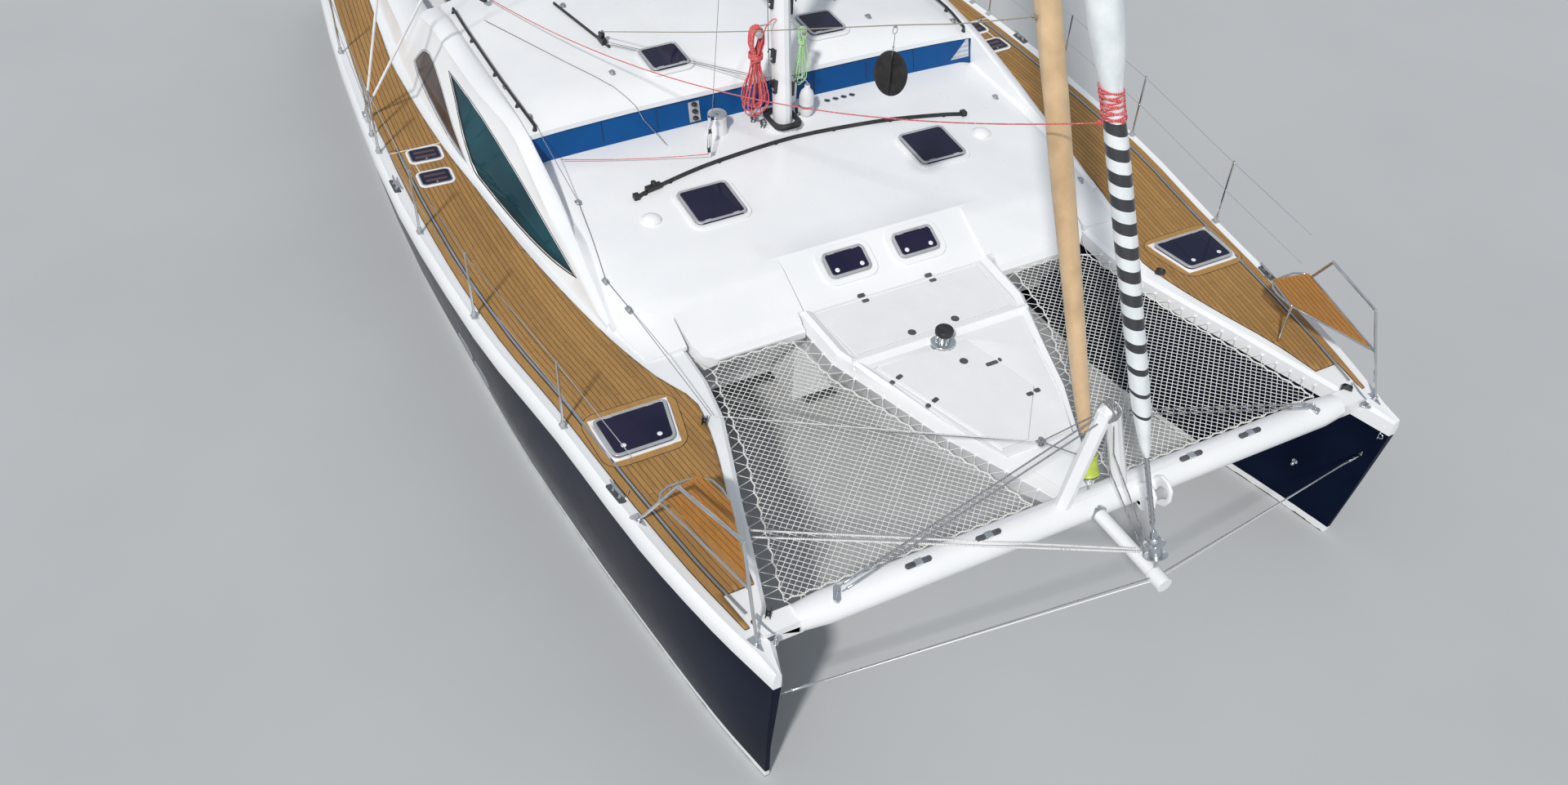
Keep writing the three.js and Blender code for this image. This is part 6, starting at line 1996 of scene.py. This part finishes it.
def furled(name, finish, tack, head, rows, turns_each, ridge, slack, drum):
    """Rolled sail on its stay. turns_each is the leech's turn in radians for each metre of height,
    ridge its thickness, slack the depth of the folds, and drum its low, high and radius."""
    rings = []
    low, high = rows[0][0], rows[-1][0]
    count = 230
    rows = faired(rows, 4)
    for row in range(count + 1):
        height = low + (high - low) * row / count
        base = along(rows, height)
        centre = roll_centre(tack, head, height)
        ring = []
        for angle in angles(44):
            run = (angle - height * turns_each) % (2 * math.pi) / (2 * math.pi)
            lap = ridge * (1 - run) if run > 0.06 else ridge * run / 0.06
            fold = slack * math.sin(3 * angle + 2.1 * height) * math.sin(1.3 * height + 0.7)
            crease = 0.35 * slack * math.sin(7 * angle - 5.3 * height)
            reach = base - ridge * 0.6 + lap + (fold + crease) * min(1, base / 0.09)
            ring.append(centre + Vector((reach * 1.08 * math.cos(angle), reach * math.sin(angle), 0)))
        rings.append(ring)
    rings[0:0] = [[roll_centre(tack, head, low - 0.01) + (point - roll_centre(tack, head, low)) * 0.3
                   for point in rings[0]]]
    rings.append([roll_centre(tack, head, high + 0.02) + (point - roll_centre(tack, head, high)) * 0.3
                  for point in rings[-1]])
    shape = Shape()
    shape.rings(rings)
    roll = shape.made(name + "_roll", finish, angle=60)
    metal = Shape()
    metal.tube([tack - UP * 0.08, tack, roll_centre(tack, head, low)], 0.012, 8)
    metal.tube([roll_centre(tack, head, high), head], 0.009, 8)
    along_stay = (head - tack).normalized()
    metal.turned(roll_centre(tack, head, high + 0.08), along_stay,
                 [(0, 0.014), (0.01, 0.03), (0.09, 0.03), (0.10, 0.014)], 16)
    metal.turned(roll_centre(tack, head, drum[0]), along_stay, [(0, drum[2] * 0.9), (0.012, drum[2]),
                 (drum[1] - drum[0], drum[2]), (drum[1] - drum[0] + 0.012, drum[2] * 0.9)], 24)
    wire = metal.made(name + "_stay", "anodised")
    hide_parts(name)
    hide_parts(name)


furled("furled_genoa", "tan_cloth", GENOA_TACK, GENOA_HEAD, GENOA_ROLL, 0.9, 0.010, 0.0022,
       (1.93, 2.10, 0.074))
furled("furled_screecher", "white_cloth", SCREECHER_TACK, SCREECHER_HEAD, SCREECHER_ROLL, -1.4, 0.007, 0.0028,
       (1.86, 2.01, 0.056))


sprit_details()
mast_fittings()
halyards()
sheets()
car_tackle()
bow_rigging()
furlers()
roller_housing()

# Cushions: each filled by a short cloth run, flat where it rests, with a piped seam
def rounded_block(name, low, high, voxel):
    low, high = Vector(low), Vector(high)
    work = bmesh.new()
    bmesh.ops.create_cube(work, size=1)
    for vertex in work.verts:
        vertex.co = Vector(((low[i] + high[i]) / 2 + vertex.co[i] * (high[i] - low[i]) for i in range(3)))
    bmesh.ops.bevel(work, geom=work.edges[:], offset=min(high - low) * 0.28, segments=3, profile=0.6,
                    affect="EDGES")
    mesh = bpy.data.meshes.new(name)
    work.to_mesh(mesh)
    work.free()
    piece = link_object(name, mesh)
    remesh = piece.modifiers.new("remesh", "REMESH")
    remesh.mode = "VOXEL"
    remesh.voxel_size = voxel
    keep_evaluated(piece)
    return piece


def keep_evaluated(piece):
    """The piece's modified mesh takes the place of its mesh."""
    graph = bpy.context.evaluated_depsgraph_get()
    graph.update()
    mesh = bpy.data.meshes.new_from_object(piece.evaluated_get(graph))
    piece.modifiers.clear()
    piece.data = mesh


def fill_cushions(pieces, cap):
    """Cloth run with inner pressure on all cushions at once, each point's way capped."""
    starts = {}
    for piece in pieces:
        starts[piece.name] = [vertex.co.copy() for vertex in piece.data.vertices]
        cloth = piece.modifiers.new("cloth", "CLOTH")
        cloth.settings.quality = 4
        cloth.settings.mass = 0.3
        cloth.settings.use_pressure = True
        cloth.settings.uniform_pressure_force = 4
        cloth.settings.effector_weights.gravity = 0
        cloth.point_cache.frame_start = 1
        cloth.point_cache.frame_end = 20
    scene = bpy.context.scene
    for frame_number in range(1, 21):
        scene.frame_set(frame_number)
    for piece in pieces:
        keep_evaluated(piece)
        for vertex, start in zip(piece.data.vertices, starts[piece.name]):
            way = vertex.co - start
            if way.length > cap:
                way *= cap / way.length
            vertex.co = start + way
    scene.frame_set(1)


def finish_cushion(piece, low, high, lying):
    """Smooth padded piece; one that lies on a seat is flat below."""
    if lying:
        for vertex in piece.data.vertices:
            vertex.co.z = max(vertex.co.z, low[2] + 0.002)
    shade(piece.data, 80, 0)
    piece.modifiers.new("smooth", "SUBSURF").levels = 1
    piece.modifiers["smooth"].render_levels = 1
    dress(piece, "cushion")
    tree = BVHTree.FromPolygons([vertex.co for vertex in piece.data.vertices],
                                [list(face.vertices) for face in piece.data.polygons])
    seams = Shape()
    for share in (0.2, 0.8):
        if lying:
            level = low[2] + (high[2] - low[2]) * share
            corners = rounded_rectangle(high[0] - low[0] + 0.03, high[1] - low[1] + 0.03, 0.03, 4)
            guides = [Vector(((low[0] + high[0]) / 2 + x, (low[1] + high[1]) / 2 + y, level))
                      for x, y in corners]
        else:
            level = low[0] + (high[0] - low[0]) * share
            corners = rounded_rectangle(high[1] - low[1] + 0.03, high[2] - low[2] + 0.03, 0.03, 4)
            guides = [Vector((level, (low[1] + high[1]) / 2 + x, (low[2] + high[2]) / 2 + y))
                      for x, y in corners]
        path = []
        for a, b in zip(guides, guides[1:] + guides[:1]):
            count = max(1, round((b - a).length / 0.05))
            path += [a.lerp(b, k / count) for k in range(count)]
        seams.tube([tree.find_nearest(point)[0] for point in path], 0.0045, 6, loop=True)
    seams.made(piece.name + "_piping", "cushion_piping", slot="cushion", angle=80)


COCKPIT_SEAT_Z, SALOON_SEAT_Z = 1.082, 1.092


CUSHION_VOXEL, CUSHION_INSET, CUSHION_CAP = 0.022, 0.010, 0.016


def cushions():
    plans = []

    def plan(stem, k, low, high, lying=True):
        plans.append((f"{stem}_{k}", low, high, lying))

    seat, bench = COCKPIT_SEAT_Z, SALOON_SEAT_Z
    for k in range(3):
        y = -1.78 + 1.19 * k
        plan("cockpit_pad", k, (-5.80, y, seat), (-5.41, y + 1.175, seat + 0.09))
        plan("cockpit_back", k, (-5.925, y, seat + 0.01), (-5.815, y + 1.175, seat + 0.33), False)
    for k in range(2):
        x = -5.37 + 0.985 * k
        plan("cockpit_side_pad", k, (x, 1.27, seat), (x + 0.965, 1.78, seat + 0.09))
        x = -0.38 + 1.18 * k
        plan("saloon_pad", k, (x, 1.37, bench), (x + 1.16, 1.93, bench + 0.10))
        y = -0.28 + 1.11 * k
        plan("saloon_front_pad", k, (2.02, y, bench), (2.40, y + 1.09, bench + 0.10))
        plan("saloon_back", k, (2.42, y, bench + 0.01), (2.545, y + 1.09, bench + 0.34), False)
    inset = Vector((CUSHION_INSET,) * 3)
    pieces = [rounded_block(name, Vector(low) + inset, Vector(high) - inset, CUSHION_VOXEL)
              for name, low, high, _ in plans]
    fill_cushions(pieces, CUSHION_CAP)
    for piece, (_, low, high, lying) in zip(pieces, plans):
        finish_cushion(piece, low, high, lying)


# Cockpit cover: cloth stretched over a tube frame
COVER_AFT, COVER_LENGTH, COVER_HALF, COVER_TOP = -5.22, 2.86, 2.43, 2.448


def cover_height(x, y):
    across = (y / COVER_HALF) ** 2
    hoops = (x - COVER_AFT) / COVER_LENGTH * 3
    sag = 0.022 * math.sin(math.pi * (hoops % 1)) ** 2 * (1 - across * 0.6)
    return COVER_TOP - 0.10 * across - sag


def cockpit_cover():
    """Cloth with its hem and seams, hoops and side tubes on four posts."""
    sheet = Shape()
    columns, rows = 46, 60
    points = []
    for i in range(columns + 1):
        x = COVER_AFT + COVER_LENGTH * i / columns
        for k in range(rows + 1):
            y = -COVER_HALF + 2 * COVER_HALF * k / rows
            pull = 0.035 * (1 - (2 * i / columns - 1) ** 2) * (y / COVER_HALF) ** 3
            points.append((x, y - pull, cover_height(x, y)))
    faces = [
        (i * (rows + 1) + k, (i + 1) * (rows + 1) + k, (i + 1) * (rows + 1) + k + 1, i * (rows + 1) + k + 1)
        for i in range(columns) for k in range(rows)
    ]
    sheet.add(points, faces)
    cloth = sheet.made("cockpit_cover_cloth", "cover_cloth", slot="grey_cloth", angle=80)
    hem = Shape()
    edge = [points[k] for k in range(rows + 1)]
    edge += [points[i * (rows + 1) + rows] for i in range(1, columns + 1)]
    edge += [points[columns * (rows + 1) + k] for k in range(rows - 1, -1, -1)]
    edge += [points[i * (rows + 1)] for i in range(columns - 1, 0, -1)]
    hem.tube(edge, 0.009, 6, loop=True)
    for i in (0, 15, 31, 46):
        seam = [Vector(points[i * (rows + 1) + k]) + UP * 0.0015 for k in range(1, rows)]
        hem.tube(seam, 0.003, 5, flat=0.5)
    hem_piece = hem.made("cockpit_cover_hem", "black_cloth", angle=80)
    frame_tubes, feet = Shape(), Shape()
    for i in (1, 15, 31, 45):
        x = points[i * (rows + 1)][0]
        ys = [-2.40 + 4.80 * k / 24 for k in range(25)]
        hoop = [Vector((x, y, cover_height(x, y) - 0.018)) for y in ys]
        frame_tubes.tube(hoop, 0.0125, 10)
    for side in (-1, 1):
        y = side * 2.42
        frame_tubes.tube([Vector((x, side * 2.405, cover_height(x, 2.405) - 0.020))
                          for x in (-5.2 + 2.82 * k / 16 for k in range(17))], 0.0125, 10)
        for x in (-5.15, -2.70):
            frame_tubes.tube([(x, y, DECK_Z + 0.003), (x, y, 2.30), (x, side * 2.405, 2.335)], 0.020, 12)
            socket = [(0, 0.05), (0.008, 0.05), (0.016, 0.028), (0.05, 0.026)]
            feet.turned((x, y, DECK_Z + 0.001), UP, socket, 20)
        frame_tubes.tube([(-5.15, y, 1.95), (-4.70, side * 2.407, 2.33)], 0.0095, 8)
        frame_tubes.tube([(-2.70, y, 1.95), (-3.15, side * 2.407, 2.33)], 0.0095, 8)
    tubes = frame_tubes.made("cockpit_cover_frame", "stainless", angle=50)
    feet.made("cockpit_cover_feet", "stainless")
    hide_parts("cockpit_cover")
    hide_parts("cockpit_cover")


# Stern steps (x, z, forward end) with their boards, and cleats (x, y, angle)
STERN_STEPS = ((-6.34, 1.2, -6.07), (-6.86, 0.8, -6.64), (-7.36, 0.4, -7.14))
STEP_BOARD = 0.06
HORN_LENGTH = 0.24
CLEATS = ((6.98, 3.10, -0.25), (-5.95, 3.36, 0.12), (0.10, 4.035, 0.0), (5.20, 3.59, -0.15))


def planks_between(shape, low, high, z):
    """Small tread of laid boards."""
    count = max(2, round((high[1] - low[1]) / STEP_BOARD))
    width = (high[1] - low[1]) / count
    for k in range(count):
        y = low[1] + width * k
        shape.block((low[0], y + 0.003, z), (high[0], y + width - 0.003, z + 0.012), tone=random_tone(k + z))


def random_tone(value):
    return (math.sin(value * 12.9898) * 43758.5453) % 1


def horn_cleat(shape, turn):
    """Two short posts with a horn across their heads."""
    post = [(0, 0.022), (0.01, 0.020), (0.02, 0.012), (0.045, 0.011)]
    for x in (-0.05, 0.05):
        shape.turned(turn @ Vector((x, 0, -0.006)), turn.to_3x3() @ UP, post, 14)
    horn = [turn @ Vector((HORN_LENGTH * (k / 8 - 0.5), 0, 0.045 + 0.016 * (2 * k / 8 - 1) ** 2))
            for k in range(9)]
    shape.tube(horn, [0.007, 0.010, 0.0125, 0.014, 0.014, 0.014, 0.0125, 0.010, 0.007], 10)


def stern():
    boards, backing = Shape(), Shape()
    for name, side in SIDES:
        hull = surface_of("hull_" + name)
        inner, outer = sorted((side * 2.52, side * 3.06))
        for x, z, ahead in STERN_STEPS:
            top = below(hull, x, side * 2.8, z + 0.3).z
            aft, fore = x - 0.20, ahead - 0.03
            planks_between(boards, (aft, inner), (fore, outer), top + 0.004)
            backing.block((aft - 0.012, inner - 0.008, top - 0.004),
                          (fore + 0.012, outer + 0.008, top + 0.005))
    boards.made("stern_step_boards", "teak", merge=0)
    backing.made("stern_step_backing", "caulk")
    cleats, bases = Shape(), Shape()
    for name, side in SIDES:
        deck = surface_of("deck_" + name, "hull_" + name)
        for x, y, angle in CLEATS:
            turn = standing(deck, x, side * y, angle * side)
            horn_cleat(cleats, turn)
            bases.slab(rounded_rectangle(0.25, 0.075, 0.02), -0.006, 0.004, turn)
    cleats.made("cleats", "stainless", angle=50)
    bases.made("cleat_bases", "dark_fitting", bevel=0.002)


# Rails: foot plates under the stanchions, sleeves on the shrouds
STANCHION_XS = (-6.0, -4.6, -2.9, -0.97, -0.61, 1.00, 2.51, 4.26)


def rail_details():
    plates, screws = Shape(), Shape()
    for name, side in SIDES:
        rails = surface_of("lifelines_" + name)
        deck = surface_of("deck_" + name, "hull_" + name)
        for x in STANCHION_XS:
            hit = rails.ray_cast(Vector((x, side * 4.6, 1.80)), Vector((0, -side, 0)))[0]
            turn = standing(deck, hit.x, hit.y - side * 0.012, 0.0)
            plates.slab(rounded_rectangle(0.085, 0.065, 0.015), -0.004, 0.006, turn)
            plates.turned(turn @ Vector((0, 0, 0.004)), UP, [(0, 0.024), (0.05, 0.020), (0.06, 0.014)], 16)
            for dx, dy in ((0.03, 0.022), (-0.03, 0.022), (0.03, -0.022), (-0.03, -0.022)):
                screws.turned(turn @ Vector((dx, dy, 0.005)), UP, [(0, 0.006), (0.003, 0.005)], 8)
    plates.made("stanchion_feet", "foot_grey", bevel=0.002)
    screws.made("stanchion_screws", "stainless")
    sleeves, turnbuckles = Shape(), Shape()
    for _, side in SIDES:
        foot = Vector((-1.3, side * 3.985, DECK_Z + 0.01))
        for shift, height in ((0.025, 17.4), (-0.025, 9.0)):
            base = foot + Vector((shift, 0, 0.05))
            along_wire = (Vector((mast_x(height), side * 0.06, height)) - base).normalized()
            sleeves.tube([base + along_wire * 0.30, base + along_wire * 1.65], 0.0155, 12)
            barrel = [(0, 0.010), (0.02, 0.017), (0.24, 0.017), (0.26, 0.010)]
            turnbuckles.turned(base + along_wire * 0.02, along_wire, barrel, 14)
    sleeves.made("shroud_sleeves", "white_vinyl", angle=50)
    turnbuckles.made("shroud_turnbuckles", "stainless", angle=40)


# Boom and sail cover
def boom_details():
    straps, zips, ends = Shape(), Shape(), Shape()
    low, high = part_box("sail_bag")
    bag = surface_of("sail_bag", "boom")
    for k in range(7):
        x = low.x + 0.35 + (high.x - low.x - 0.7) * k / 6
        ring = []
        for turn in angles(24):
            outward = Vector((0, math.cos(turn), math.sin(turn)))
            centre = Vector((x, 0, 3.92))
            hit = bag.ray_cast(centre + outward * 1.2, -outward)[0]
            ring.append((hit if hit is not None else centre + outward * 0.2) + outward * 0.004)
        for shift in (-0.012, 0.0, 0.012):
            straps.tube([point + Vector((shift, 0, 0)) for point in ring], 0.0065, 6, loop=True)
    straps.made("sail_cover_straps", "black_cloth", "boom", angle=80)
    bag = surface_of("sail_bag")
    path = [top_at(bag, low.x + 0.08 + (high.x - low.x - 0.16) * k / 60, 0.0, 6)[0] + UP * 0.004
            for k in range(61)]
    zips.tube(path, 0.012, 8, flat=0.4)
    zips.made("sail_cover_zip", "black_cloth", "boom", angle=80)
    for x, out in ((-4.95, -1), (0.35, 1)):
        ends.turned((x - 0.004 * out, 0, BOOM_Z), (out, 0, 0), [(0, 0.05), (0.010, 0.045)], 24)
    for x in (-4.86, -4.72):
        ends.disc((x, -0.055, BOOM_Z - 0.125), (0, 1, 0), 0.038, 0.11, 18)
    ends.made("boom_fittings", "anodised", "boom", bevel=0.003)


# Frame of the sliding cabin door
def door_frame():
    shape = Shape()
    low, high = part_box("cabin_door")
    x = low.x + 0.022
    outer, inner = (
        [(low.y + inset, sill), (high.y - inset, sill), (high.y - inset, high.z - inset),
         (low.y + inset, high.z - inset)]
        for inset, sill in ((0.006, 0.69), (0.05, 0.745))
    )
    edges = ((outer, 0.004), (outer, -0.004), (inner, -0.004), (inner, 0.004), (outer, 0.004))
    loops = [[Vector((x + dx, y, z)) for y, z in outline] for outline, dx in edges]
    shape.rings(loops, caps=False)
    shape.made("cabin_door_frame", "anodised", "cabin_door", angle=30)


cushions()
cockpit_cover()
stern()
rail_details()
boom_details()
door_frame()
